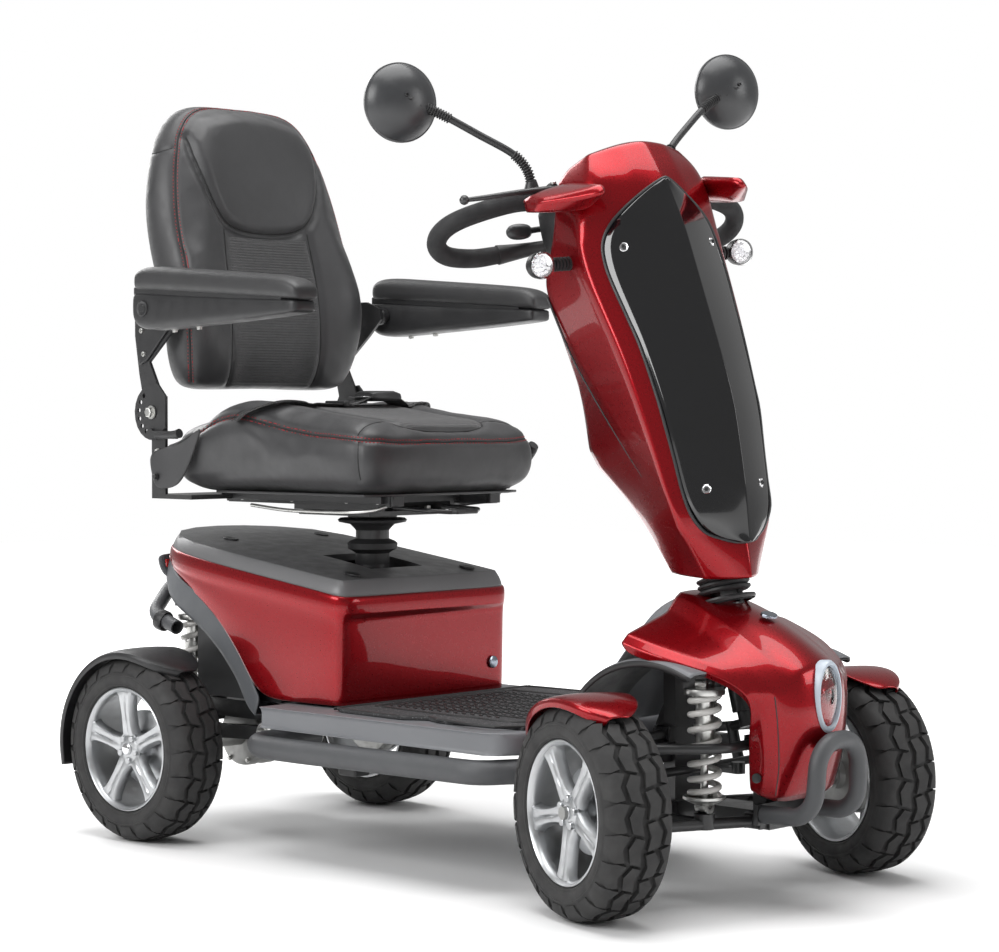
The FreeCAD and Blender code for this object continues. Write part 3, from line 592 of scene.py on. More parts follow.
CAST = metal("cast_aluminium", (0.42, 0.42, 0.41), 0.48, None, 0.25, 0.25)
GREY_TRAY = plastic("grey_tray_plastic", (0.150, 0.155, 0.165), 0.42, 0.08, 1200.0, 0.08)
GREY_TRIM = plastic("grey_arch_plastic", (0.085, 0.090, 0.097), 0.50, 0.10, 1100.0, 0.12)
DECK_GREY = plastic("deck_plastic", (0.070, 0.070, 0.072), 0.36, 0.06, 1300.0, 0.12)
LIP_GREY = plastic("deck_lip_plastic", (0.115, 0.115, 0.118), 0.40, 0.06, 1300.0, 0.1)
BLACK_PLASTIC = plastic("black_moulded_plastic", (0.014, 0.014, 0.015), 0.42, 0.08, 1200.0)
BLACK_GLOSS = plastic("black_gloss_panel", (0.0035, 0.0035, 0.004), 0.10, 0.004, 400.0, 0.1, 0.6)
SOFT_PAD = plastic("soft_armrest_skin", (0.022, 0.022, 0.023), 0.46, 0.14, 800.0, 0.2)
FOAM = plastic("foam_grip", (0.020, 0.020, 0.021), 0.88, 0.30, 700.0, 0.25)
RUBBER = plastic("bellows_rubber", (0.016, 0.016, 0.017), 0.55, 0.10, 600.0)
MAT = mat_rubber()
MAT_EDGE = plastic("mat_border_rubber", (0.018, 0.018, 0.019), 0.5, 0.08, 900.0)
CLEAR = clear_lens("clear_lens")
MIRROR_BACK = plastic("mirror_back_plastic", (0.030, 0.031, 0.033), 0.33, 0.05, 1200.0, 0.1)
BUTTON_RED = plastic("red_button_plastic", (0.62, 0.012, 0.006), 0.32, 0.02, 900.0, 0.08, 0.3)
BLANK_BADGE = metal("blank_badge", (0.30, 0.33, 0.38), 0.22, None, 0.1)


def webbing_cloth():
    """Woven belt webbing, with painted shade in the weave's low lines."""
    n = Nodes("belt_webbing")
    # painted shade: the colour bands follow the same wave as the bump, so the weave's grooves are darker
    # and its ridges lighter
    n.colour(n.mix(n.wave(520.0, "X"), (0.010, 0.010, 0.010), (0.034, 0.034, 0.035)))
    n.rough(0.6, 0.8, 120.0)
    n.bump(n.wave(520.0, "X"), 0.2)
    n.bump(n.wave(260.0, "Y"), 0.25)
    n.set(Sheen_Weight=0.3)
    return n.mat


def mirror_glass():
    """Silvered convex glass."""
    n = Nodes("mirror_glass")
    n.colour(n.mix(n.noise(6.0), (0.80, 0.82, 0.84), (0.88, 0.89, 0.90)))
    n.rough(0.01, 0.04, 20.0)
    n.set(Metallic=1.0)
    return n.mat


WEBBING = webbing_cloth()
MIRROR_GLASS = mirror_glass()


def repaint(finish, *nodes):
    """Gives CAD nodes that stay visible their finished material."""
    for name in nodes:
        obj = frame["nodes"][name]
        obj.data.materials.clear()
        obj.data.materials.append(finish)


# ---- camera, light and floor ----
CAMERA_PLACE = (3.0795, -3.2296, 0.7691)
CAMERA_AZIMUTH = math.radians(43.2)
CAMERA_ELEVATION = math.radians(1.5)
LENS_MM = 93.66
FLOOR_REACH = 9000


def studio():
    """The viewing angle, a pale floor and soft light."""
    azimuth, elevation = CAMERA_AZIMUTH, CAMERA_ELEVATION
    back = Vector((math.sin(azimuth) * math.cos(elevation),
                   -math.cos(azimuth) * math.cos(elevation), math.sin(elevation)))
    camera = bpy.data.objects.new("camera", bpy.data.cameras.new("camera"))
    camera.data.sensor_width = 36.0
    camera.data.lens = LENS_MM
    camera.data.clip_end = 60.0
    camera.location = CAMERA_PLACE
    camera.rotation_euler = back.to_track_quat("Z", "Y").to_euler()
    bpy.context.scene.collection.objects.link(camera)
    bpy.context.scene.camera = camera
    scene = bpy.context.scene
    scene.view_settings.view_transform = "Standard"
    world = bpy.data.worlds.new("studio")
    world.use_nodes = True
    tree = world.node_tree
    seen = tree.nodes.new("ShaderNodeLightPath")
    level = tree.nodes.new("ShaderNodeMapRange")
    level.inputs["To Min"].default_value = 0.34
    level.inputs["To Max"].default_value = 1.0
    tree.links.new(seen.outputs["Is Camera Ray"], level.inputs["Value"])
    back_node = tree.nodes["Background"]
    back_node.inputs[0].default_value = (1.0, 1.0, 1.0, 1)
    tree.links.new(level.outputs["Result"], back_node.inputs[1])
    scene.world = world
    floor_mesh = grid([[(x, y, 0) for y in (-FLOOR_REACH, FLOOR_REACH)]
                       for x in (-FLOOR_REACH, FLOOR_REACH)])
    data = bpy.data.meshes.new("floor")
    data.from_pydata([Vector(v) * MM for v in floor_mesh[0]], [], floor_mesh[1])
    floor = bpy.data.objects.new("floor", data)
    scene.collection.objects.link(floor)
    n = Nodes("pale_floor")
    n.colour(n.mix(n.noise(2.0), (0.90, 0.90, 0.90), (0.93, 0.93, 0.93)))
    n.rough(0.55, 0.7, 3.0)
    spot_on_floor = n.add("ShaderNodeNewGeometry")
    away = n.add("ShaderNodeVectorMath", operation="LENGTH")
    n.link(spot_on_floor.outputs["Position"], away.inputs[0])
    n.link(n.span(away.outputs["Value"], 0.0, 0.9, 1.1, 3.0), n.shader.inputs["Emission Strength"])
    n.set(Emission_Color=(1, 1, 1, 1))
    data.materials.append(n.mat)
    lights = (("key", (-0.6, -3.9, 2.6), 2.4, 2.2, 120.0), ("left", (4.4, 2.2, 2.2), 1.6, 2.4, 60.0),
              ("top", (0.0, 0.0, 4.6), 4.0, 4.0, 230.0), ("rear", (-3.8, 0.6, 2.4), 2.0, 2.0, 70.0))
    for name, place, width, height, power in lights:
        lamp = bpy.data.lights.new(name, "AREA")
        lamp.shape = "RECTANGLE"
        lamp.size, lamp.size_y, lamp.energy = width, height, power
        obj = bpy.data.objects.new(name, lamp)
        obj.location = place
        obj.rotation_euler = (Vector(place) - Vector((0, 0, 0.6))).to_track_quat("Z", "Y").to_euler()
        scene.collection.objects.link(obj)


studio()


# ---- wheels, modelled about Y with their outer face towards +Y ----
TREAD_PITCHES = 22
TREAD_DEPTH = 7.0
# Across the tread from the crown to the sidewall: (share, distance from the middle, radius).
TREAD_ARC = ((0.0, 0.0, 0.0), (0.35, 22.0, -0.8), (0.6, 38.0, -3.5), (0.75, 47.0, -9.0),
             (0.88, 53.0, -17.5), (1.0, 55.4, -28.0))


def tread_point(turn, across, lift):
    """A point of the tyre's outer skin: turn in radians, across from -1 to 1."""
    share = min(abs(across), 1.0)
    for (s0, y0, r0), (s1, y1, r1) in zip(TREAD_ARC, TREAD_ARC[1:]):
        if share <= s1:
            break
    t = (share - s0) / (s1 - s0)
    y, drop = y0 + (y1 - y0) * t, r0 + (r1 - r0) * t
    depth = (1 - lift) * TREAD_DEPTH * (1 - 0.75 * share ** 3)
    lean = math.radians(70) * share ** 2
    r = TYRE_R - 0.4 + drop - depth * math.cos(lean)
    y = y - depth * math.sin(lean)
    y = math.copysign(y, across)
    return Vector((r * math.cos(turn), y, r * math.sin(turn)))


def tread_blocks():
    """Angular blocks: an interlocking pair by the crown and a long one over each shoulder."""
    crown = ((0.03, 0.06), (0.48, 0.13), (0.90, 0.03), (0.99, 0.27), (0.64, 0.44), (0.14, 0.36))
    shoulder = ((0.20, 0.50), (0.62, 0.58), (1.04, 0.42), (1.12, 0.66), (1.00, 0.99), (0.34, 0.99),
                (0.14, 0.72))
    bm = bmesh.new()
    for side in (1, -1):
        for outline in (crown, shoulder):
            skew = 0.0 if side > 0 else 0.5
            bm.faces.new([bm.verts.new((u + skew, v * side, 0)) for u, v in outline])
    for cut in (0.25, 0.5, 0.6, 0.68, 0.75, 0.82, 0.88, 0.94):
        for side in (1, -1):
            bmesh.ops.bisect_plane(bm, geom=bm.verts[:] + bm.edges[:] + bm.faces[:],
                                   plane_co=(0, cut * side, 0), plane_no=(0, 1, 0))
    for cut in (0.25, 0.5, 0.75, 1.0, 1.25):
        bmesh.ops.bisect_plane(bm, geom=bm.verts[:] + bm.edges[:] + bm.faces[:],
                               plane_co=(cut, 0, 0), plane_no=(1, 0, 0))
    top = bmesh.ops.extrude_face_region(bm, geom=bm.faces[:])["geom"]
    for v in [g for g in top if isinstance(g, bmesh.types.BMVert)]:
        v.co.z = 1.0
    bm.verts.index_update()
    flat = [v.co.copy() for v in bm.verts]
    faces = [tuple(v.index for v in f.verts) for f in bm.faces]
    bm.free()
    step = 2 * math.pi / TREAD_PITCHES
    copies = []
    for k in range(TREAD_PITCHES):
        copies.append(([tread_point((p.x + k) * step, p.y, p.z) for p in flat], faces))
    return joined(*copies)


def tyre_mesh():
    """Carcass with bead, sidewall ridges and the tread on it."""
    section = []
    for k in range(-24, 25):
        p = tread_point(0.0, k / 24, 0.0)
        section.append((p.x, p.y))
    wall = [(132.5, 55.6), (131.0, 54.6), (127.0, 55.4), (120.0, 54.6), (116.5, 52.2), (113.5, 52.4),
            (111.5, 50.0), (110.3, 46.0)]
    profile = [(r, -y) for r, y in reversed(wall)] + section + wall
    profile += [(114.0, 40.0), (114.0, -40.0), (110.3, -46.0)]
    return joined(moved(lathe(profile, 132), TO_Y), tread_blocks())


def rim_mesh():
    """Five double-ridged spokes between a hub and a stepped rim."""
    rim_r = 109.5
    outer = [(rim_r - 8, 30), (rim_r - 9, 40), (rim_r - 6, 47), (rim_r - 2, 50.5), (rim_r, 49.5),
             (rim_r, 46), (rim_r - 1.5, 43), (rim_r - 1.5, -46), (rim_r, -50), (rim_r - 4, -50.5),
             (rim_r - 7, -44), (rim_r - 8, -20), (rim_r - 8, 30)]
    hub = [(0, 44.5), (9, 44.5), (11, 43), (11, 41), (13, 41), (25, 38), (29, 34), (30, 20), (30, -30),
           (16, -34), (10.4, -34), (10.4, -30)]
    backing = [(10.4, 8), (28, 10), (60, 6), (66, 4), (66, -2), (28, -6), (10.4, -6)]
    parts = [lathe(outer, 96), lathe(hub, 60), lathe(backing, 60)]
    across = ((-1.0, -17), (-0.86, -3.5), (-0.70, -0.4), (-0.42, 0), (-0.16, -1.2), (0, -5.5),
              (0.16, -1.2), (0.42, 0), (0.70, -0.4), (0.86, -3.5), (1.0, -17))
    stations = ((18, 22, 37.0), (27, 17.5, 39.5), (42, 14.5, 41.5), (60, 14.0, 42.5), (78, 15.5, 43.5),
                (92, 18.0, 44.5), (100, 23.0, 45.0), (103, 26.0, 44.0))
    for k in range(5):
        a = math.radians(90 + 72 * k)
        rows = []
        for r, half, top in stations:
            groove = min(1.0, max(0.0, (r - 24) / 40)) * min(1.0, max(0.0, (104 - r) / 22))
            row = []
            for w, drop in across:
                d = drop * (groove if abs(w) < 0.4 else 1.0)
                row.append((r * math.cos(a) - w * half * math.sin(a),
                            r * math.sin(a) + w * half * math.cos(a), top + d))
            rows.append(row)
        parts.append(capped(rows))
        b = math.radians(90 + 36 + 72 * k)
        nut = lathe([(0, 7), (5, 7), (6, 6), (6, 0), (9, 0), (9, -6)], 12)
        parts.append(shifted(nut, 21 * math.cos(b), 21 * math.sin(b), 37))
    return moved(joined(*parts), TO_Y)


def brake_drum_mesh():
    """Dark drum and hub flange seen between the spokes."""
    drum = lathe([(0, 4), (26, 4), (52, 2), (62, -2), (64, -8), (64, -30), (60, -34), (24, -36),
                  (22, -46), (0, -46)], 60)
    bolts = [bolt((44 * math.cos(math.radians(72 * k)), 44 * math.sin(math.radians(72 * k)), 2),
                  (0, 0, 1), 4.5) for k in range(5)]
    return moved(joined(drum, *bolts), TO_Y)


def wheels():
    """Tyre, rim, hub drum and cap at the four corners, spun a little so that no two match."""
    tyre, rim, drum = tyre_mesh(), rim_mesh(), brake_drum_mesh()
    for end, turn in (("front", WHEEL_TURN), ("rear", 0.0)):
        for name, side in SIDES:
            hub = centre(end + "_tyre_" + name)
            spin = Matrix.Rotation(0.55 if end == "rear" else 0.1, 4, "Y")
            place = Matrix.Translation(hub) @ Matrix.Rotation(turn, 4, "Z")
            body = end + "_wheel_" + name
            label = end + "_" + name
            parts = ((tyre, TYRE, "tyre_rubber", "_tyre_", "tread_"),
                     (rim, ALLOY, "rim_alloy", "_rim_", "alloy_"))
            for mesh, finish, slot, node, prefix in parts:
                shape = moved(sided(moved(mesh, spin), side), place)
                piece(prefix + label, shape, finish, body, slot, [end + node + name], sharp=32)
            drum_shape = moved(sided(drum, side), place)
            piece("hub_drum_" + label, drum_shape, CAST, body, "rim_alloy")
            cap = moved(lathe([(0, 47), (8, 47), (9.5, 46), (9.5, 43.5)], 24), TO_Y)
            piece("hub_cap_" + label, moved(sided(cap, side), place), CHROME, body, "rim_alloy")


wheels()


# ---- chassis and suspension ----
def frame_metal():
    """Steel parts whose CAD shape is right: they only need their finish."""
    repaint(BLACK_STEEL, "chassis_frame", "swing_arm", "seat_frame", "back_frame", "seat_swivel",
            "steering_column", "track_rod", "lower_arm_right", "lower_arm_left", "upper_arm_right",
            "upper_arm_left")
    repaint(ZINC, "upright_right", "upright_left")
    repaint(CAST, "knuckle_right", "knuckle_left")
    repaint(BLACK_PLASTIC, "battery_pack", "tiller_core")
    repaint(DARK_TUBE, "outer_tubes")


def tube_details():
    """Swing-arm pivot brackets with their lugs and bolts, and a stand pad."""
    for name, side in SIDES:
        rear_x = JOINTS["rear_suspension"]["pos_m"][0] / MM
        bracket = plate([(rear_x - 26, 152), (rear_x + 34, 152), (rear_x + 44, 176), (rear_x + 40, 214),
                         (rear_x - 4, 222), (rear_x - 28, 198)], 10, "y", 158)
        lug = pointed(lathe([(0, 0), (19, 0), (22, 4), (22, 16), (17, 20), (0, 20)], 32),
                      (rear_x, 168, 194), (0, 1, 0))
        piece("swing_pivot_bracket_" + name, sided(joined(bracket, lug), side), CAST, "swing_arm",
              bevel=1.6)
        bolts = joined(bolt((rear_x, 188, 194), (0, 1, 0), 9),
                       bolt((rear_x + 24, 168, 168), (0, 1, 0), 5))
        piece("swing_pivot_bolts_" + name, sided(bolts, side), ZINC, "swing_arm")
    foot = block(-78, -36, -262, -226, 156, 172)
    piece("stand_pad", joined(foot, block(-68, -46, -256, -234, 170, 178)), BLACK_PLASTIC, "root",
          bevel=4.0)


def spring(foot, head, radius, wire, turns):
    """A coil with closed ends and ground seats."""
    path = []
    steps = 26
    for k in range(int(turns * steps) + 1):
        t = k / (turns * steps)
        ease = 0.5 - 0.5 * math.cos(math.pi * min(1, max(0, (t - 0.06) / 0.88)))
        share = 0.25 * ease + 0.75 * min(1, max(0, (t - 0.05) / 0.90))
        a = 2 * math.pi * turns * t
        path.append(Vector((radius * math.cos(a), radius * math.sin(a), share * (head - foot) + foot)))
    return tube(path, wire, 10)


def coil_over(length, radius, wire, turns):
    """Damper body, rod, seats and eyes along +Z, with the coil as a second mesh."""
    damper = lathe([(0, 16), (6, 16), (6, length * 0.5), (13, length * 0.5), (14, length * 0.52),
                    (14, length - 26), (radius + 4, length - 24), (radius + 5, length - 20),
                    (radius + 4, length - 15), (12, length - 13), (8, length - 8), (0, length - 8)], 36)
    seat = lathe([(0, 12), (12, 12), (radius + 3, 20), (radius + 6, 22), (radius + 6, 26),
                  (radius - 3, 26), (radius - 4, 24), (8, 22), (8, 30), (0, 30)], 36)
    eyes = [pointed(lathe([(4, -11), (11, -11), (12, -9), (12, 9), (11, 11), (4, 11)], 28), (0, 0, z),
                    (1, 0, 0)) for z in (10, length - 8)]
    ring_nut = lathe([(14, length * 0.60), (17, length * 0.60), (17, length * 0.66), (14, length * 0.66)],
                     12)
    return joined(damper, seat, ring_nut, *eyes), spring(27, length - 25, radius - wire, wire, turns)


def shocks():
    """Front and rear coil-overs."""
    for end, turns in (("front_shock_right", 7.5), ("front_shock_left", 7.5), ("rear_shocks", 6.5)):
        low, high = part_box(end)
        length = (high.z - low.z) / MM
        places = [centre(end)] if end != "rear_shocks" else [
            Vector((centre(end).x, side * (high.y / MM - 28.5), 0)) for _, side in SIDES]
        radius = 27 if end != "rear_shocks" else 25
        body_mesh, coil_mesh = coil_over(length - 1, radius, 5.0, turns)
        metal_parts = [shifted(body_mesh, p.x, p.y, low.z / MM + 0.5) for p in places]
        coils = [shifted(coil_mesh, p.x, p.y, low.z / MM + 0.5) for p in places]
        for label, meshes, finish, nodes in (("damper", metal_parts, ZINC, [end]),
                                             ("coil", coils, SPRING_WHITE, [])):
            obj = piece(end + "_" + label, joined(*meshes), finish, "root", "spring_steel", nodes)
            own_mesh(obj)


def drive_unit():
    """Motor, gearbox and axle tubes with cooling fins, flanges and a brake cap."""
    x, z = pivot("rear_wheel_left_spin").x, AXLE_Z
    turned = Matrix.Translation((x, 0, z)) @ TO_Y
    gearbox = lathe([(0, -72), (48, -72), (54, -68), (56, -60), (56, -46), (50, -40), (50, -30),
                     (56, -24), (56, -6), (52, -1), (0, -1)], 48)
    tubes = lathe([(0, -226), (24, -226), (24, -214), (17, -208), (17, -72), (17, 72), (17, 208),
                   (24, 214), (24, 226), (0, 226)], 36)
    shaft = lathe([(0, -338), (9.5, -338), (9.5, 338), (0, 338)], 24)
    motor_fins = [(r, -40 + 4 + k * 4 + h) for k in range(14)
                  for r, h in ((43, 0), (43, 2), (38, 2), (38, 4))]
    motor = lathe([(0, 2), (42, 2), (43, 6)] + [(r, h + 44) for r, h in motor_fins if 6 < h + 44 < 66]
                  + [(43, 68), (36, 77), (0, 77)], 48)
    motor = moved(motor, Matrix.Translation((34, 0, 0)))
    piece("drive_unit", moved(joined(gearbox, tubes, motor), turned), CAST, "swing_arm", "cast_alloy",
          ["transaxle"])
    piece("half_shafts", moved(shaft, turned), ZINC, "swing_arm", "cast_alloy")
    bolts = [bolt((x + 50 * math.cos(math.radians(60 * a)), -72, z + 50 * math.sin(math.radians(60 * a))),
                  (0, -1, 0), 4) for a in range(6)]
    piece("gearbox_bolts", joined(*bolts), ZINC, "swing_arm", "cast_alloy")
    cable = smooth_path([(x + 40, -60, z + 54), (x + 92, -120, z + 82), (x + 150, -150, z + 86),
                         (x + 208, -120, z + 60), (x + 226, -108, z + 48)], 8)
    piece("motor_lead", tube(cable, 4, 10), RUBBER, "swing_arm")


frame_metal()
tube_details()
shocks()
drive_unit()


# ---- red nose, arches and lamp ----
def front_cowl():
    """Raised spine with crisp creases, faceted shoulders, side wings and a deep nose."""
    rows = [
        [(470, 0, 480), (478, 42, 478), (484, 60, 472), (492, 92, 450), (504, 200, 424), (500, 211, 410),
         (505, 207, 396)],
        [(512, 0, 479), (514, 46, 474), (520, 63, 466), (528, 100, 440), (536, 196, 414), (534, 209, 400),
         (538, 205, 386)],
        [(566, 0, 467), (566, 48, 456), (574, 72, 446), (584, 108, 422), (596, 180, 396), (598, 194, 384),
         (598, 188, 375)],
        [(640, 0, 440), (639, 52, 422), (650, 78, 408), (652, 118, 390), (650, 146, 374), (654, 156, 364),
         (650, 150, 354)],
        [(694, 0, 410), (696, 53, 384), (702, 74, 368), (700, 98, 350), (684, 122, 346), (684, 128, 336),
         (678, 122, 326)],
        [(730, 0, 380), (724, 50, 366), (716, 68, 350), (705, 92, 334), (690, 106, 318), (674, 112, 306),
         (670, 106, 302)],
        [(742, 0, 318), (735, 46, 308), (724, 66, 300), (708, 88, 292), (684, 98, 282), (660, 100, 274),
         (657, 94, 272)],
        [(735, 0, 246), (727, 44, 240), (716, 62, 234), (704, 80, 228), (678, 88, 224), (653, 90, 220),
         (650, 84, 219)],
        [(706, 0, 182), (702, 42, 178), (697, 57, 177), (692, 72, 178), (670, 82, 182), (650, 84, 188),
         (647, 78, 190)],
        [(690, 0, 168), (688, 38, 167), (684, 52, 168), (680, 64, 170), (664, 74, 176), (648, 78, 184),
         (645, 74, 188)],
    ]
    lines = crease_lines(rows[:6], {1: 0.75, 2: 0.55, 3: 0.5})
    lines += crease_lines(rows, {4: 0.7, 5: 0.8}) + crease_lines(rows[5:], {3: 0.75})
    lines += [(line, strength) for line, strength in crease_lines([row[:4] for row in rows], None,
                                                                  {5: 0.35, 8: 0.5})]
    shell = piece("cowl_shell", grid(symmetric(rows)), RED, "root", "red_shell", ["front_cowl"], levels=3,
                  wall=3.0, creases=lines)
    collar = lathe([(45, -4), (47, 0), (46, 3), (41, 4), (39, 0), (40, -6)], 48)
    throat = COLUMN - COLUMN_AXIS * 14
    piece("column_collar", pointed(collar, throat, COLUMN_AXIS), BLACK_PLASTIC, "root", "black_shell")
    badge = capped([oval(17 * s, 11 * s, h) for s, h in ((1.0, -2), (1.0, 1.4), (0.9, 2.4))])
    tilt = posed((622, 0, 447), (22, "Y"), (90, "Z"))
    piece("blank_oval_badge", moved(badge, tilt), BLANK_BADGE, "root", "red_shell", bevel=0.5)
    for name, side in SIDES:
        seam = [(704, 93, 333), (706, 88.6, 292), (703, 81, 228), (691, 73, 180)]
        hole = pointed(lathe([(0, 0.2), (6, 0.2), (7.5, 0.8), (7.5, -2), (0, -2)], 24), (668, 90.5, 206),
                       (0.25, 1, 0.1))
        piece("cowl_access_hole_" + name, sided(hole, side), BLACK_PLASTIC, "root", "black_shell")
        piece("cowl_joint_line_" + name, sided(tube(smooth_path(seam, 6), 0.9, 6), side), BLACK_PLASTIC,
              "root", "black_shell")
    return shell


def headlight():
    """Upright oval lamp: pale bezel, deep dish, a honeycomb of cups and a clear cover."""
    def ring(scale, depth):
        return oval(27 * scale, 50 * scale, depth, 48)

    place = posed((736, 0, 329), (90, "Y"), (90, "Z"))
    bezel = grid([ring(s, h) for s, h in ((1.10, -14), (1.12, 0), (1.07, 4), (0.98, 4.5), (0.92, 1),
                                          (0.90, -9))], wrap_cols=True)
    piece("headlight_bezel", moved(bezel, place), plastic("lamp_bezel", (0.42, 0.47, 0.53), 0.3, 0.03),
          "root", "lamp_lens")
    dish = capped([ring(0.92, -9), ring(0.88, -10), ring(0.86, -14)])
    piece("headlight_dish", moved(dish, place), BLACK_GLOSS, "root", "lamp_lens", ["headlight"])
    cups, chips = [], []
    pitch = 8.6
    for row in range(-6, 7):
        for column in range(-4, 5):
            a, b = (column + 0.5 * (row % 2)) * pitch, row * pitch * 0.87
            if (a / 22) ** 2 + (b / 44) ** 2 < 1:
                cup = lathe([(4.3, -9), (4.2, -4.4), (3.7, -4.4), (1.8, -8.8), (0, -8.8)], 6)
                cups.append(shifted(cup, a, b, 0))
                chips.append(shifted(lathe([(0, -8.2), (1.5, -8.2), (1.5, -8.9)], 8), a, b, 0))
    piece("headlight_cups", moved(joined(*cups), place),
          plastic("lamp_reflector", (0.74, 0.74, 0.71), 0.24, 0.01), "root", "lamp_lens", sharp=20)
    piece("headlight_chips", moved(joined(*chips), place), glow("lamp_chip", (1.0, 0.97, 0.88), 0.7),
          "root", "lamp_lens")
    cover = grid([ring(0.93, -2), ring(0.85, 1.2), ring(0.6, 4.2), ring(0.3, 5.6), ring(0.02, 6.0)],
                 wrap_cols=True)
    piece("headlight_cover", moved(cover, place), CLEAR, "root", "lamp_lens", wall=1.2)
    scoop = [[(744, y * 0.4, 262 - abs(y) * 0.25), (750, y * 0.8, 256 - abs(y) * 0.2), (741, y, 244)]
             for y in (-26, -14, 0, 14, 26)]
    piece("nose_scoop", grid(scoop), RED, "root", "red_shell", levels=2, wall=2.0)


def front_arches():
    """Black wheel-arch liners with a rolled grey lip, and the console slope between them."""
    axle = Vector((pivot("kingpin_left").x, 0, AXLE_Z + 7))
    for name, side in SIDES:
        rows = []
        for k in range(17):
            a = math.radians(66 + 7.0 * k)
            r = 213 + 3 * math.sin(math.radians(11.25 * k))
            edge = 206 - 46 * (k / 16) ** 3
            c, s = math.cos(a), math.sin(a)
            rows.append([(axle.x + q * c, side * y, axle.z + q * s) for y, q in
                         ((58, r), (edge - 14, r), (edge - 3, r - 1), (edge, r - 5), (edge - 2, r - 12))])
        piece("arch_liner_" + name, grid(rows), BLACK_PLASTIC, "root", "black_shell",
              ["arch_liners"], levels=1, wall=2.5)
        cover = []
        for k, row in enumerate(rows):
            a = math.radians(66 + 7.0 * k)
            c, s = math.cos(a), math.sin(a)
            edge = row[2][1] * side
            cover.append([(axle.x + (q + 216) * c, side * y, axle.z + (q + 216) * s) for y, q in
                          ((60, 0.0), (edge - 24, 1.5), (edge - 4, 1.0), (edge + 1, -4), (edge + 1, -9))])
        piece("arch_cover_" + name, grid(cover), GREY_TRAY, "root", "grey_trim", levels=2, wall=2.5)
    slope = [
        [(330, 0, 262), (330, 50, 262), (328, 84, 262), (322, 100, 262)],
        [(352, 0, 300), (352, 50, 300), (350, 82, 298), (346, 102, 290)],
        [(386, 0, 366), (386, 48, 366), (386, 78, 362), (384, 104, 346)],
        [(420, 0, 424), (420, 46, 424), (422, 74, 420), (424, 104, 396)],
        [(452, 0, 462), (452, 42, 462), (456, 66, 458), (460, 98, 430)],
        [(480, 0, 476), (480, 40, 475), (484, 58, 468), (490, 90, 446)],
    ]
    piece("console_slope", grid(symmetric(slope)), GREY_TRAY, "root", "grey_trim", levels=3, wall=2.5,
          creases=crease_lines(slope, {2: 0.5}))


def mudguard(name, side, hub, turn, rows, finish, body, slot, stands_for, lip):
    """A guard swept round a wheel: rows of (angle, inner edge, outer edge, rise)."""
    cage = []
    for angle, inner, outer, rise in rows:
        a = math.radians(angle)
        r = TYRE_R + rise
        mid = (inner + outer) / 2
        line = ((inner, r - 1), (inner * 0.6 + mid * 0.4, r + 1.5), (mid, r + 2.5),
                (mid * 0.3 + outer * 0.7, r + 1), (outer - 3, r - 3), (outer, r - 8),
                (outer - 1, r - 8 - lip))
        cage.append([(q * math.sin(a), y, q * math.cos(a)) for y, q in line])
    place = Matrix.Translation(hub) @ Matrix.Rotation(turn, 4, "Z")
    mesh = moved(sided(grid(cage), side), place)
    line = [place @ Vector((p[0], side * p[1], p[2])) for p in (row[4] for row in cage)]
    return piece(name, mesh, finish, body, slot, stands_for, levels=3, wall=2.6, creases=[(line, 0.5)])


def mudguards():
    """Front guards on the knuckles, rear ones on the swing arm, each with its stay."""
    for name, side in SIDES:
        front_rows = ((31, -16, 22, 9), (24, -42, 44, 11), (12, -58, 56, 12), (-4, -62, 61, 12.5),
                      (-22, -62, 62, 12), (-40, -60, 56, 11), (-56, -56, 36, 10.5), (-70, -50, 10, 10))
        hub = centre("front_tyre_" + name)
        mudguard("front_fender_skin_" + name, side, hub, WHEEL_TURN, front_rows, RED, "knuckle_" + name,
                 "red_shell", ["front_fender_" + name], 9)
        stay = ribbon([Vector(p) for p in ((0, -66, 70), (0, -66, 120), (0, -65, 150), (0, -60, 168),
                                           (0, -40, 174))],
                      [(-12, -1.5), (12, -1.5), (12, 1.5), (-12, 1.5)], up=(0, 1, 0))
        piece("fender_stay_" + name, moved(sided(stay, side), Matrix.Translation(hub) @ Matrix.Rotation(
            WHEEL_TURN, 4, "Z")), BLACK_STEEL, "knuckle_" + name, "red_shell", bevel=0.5)
        rear_rows = ((37, -30, 8, 11), (30, -52, 40, 12), (16, -61, 58, 13), (0, -62, 62, 13.5),
                     (-20, -62, 63, 14), (-45, -62, 63, 14), (-70, -62, 63, 14), (-90, -62, 62, 13.5),
                     (-104, -60, 60, 13))
        hub = centre("rear_tyre_" + name)
        mudguard("rear_guard_" + name, side, hub, 0.0, rear_rows, BLACK_PLASTIC, "swing_arm",
                 "black_shell", ["rear_mudguards"], 7)
        strap = ribbon([Vector(p) for p in ((-52, -134, 24), (-52, -70, 24), (-52, -66, 40),
                                            (-52, -64, 110), (-52, -62, 164))],
                       [(-9, -1.5), (9, -1.5), (9, 1.5), (-9, 1.5)], up=(1, 0, 0))
        piece("rear_guard_stay_" + name,
              sided(moved(strap, Matrix.Translation((hub.x, side * hub.y, hub.z))), side), BLACK_STEEL,
              "swing_arm", "black_shell", bevel=0.5)


front_cowl()
headlight()
front_arches()
mudguards()


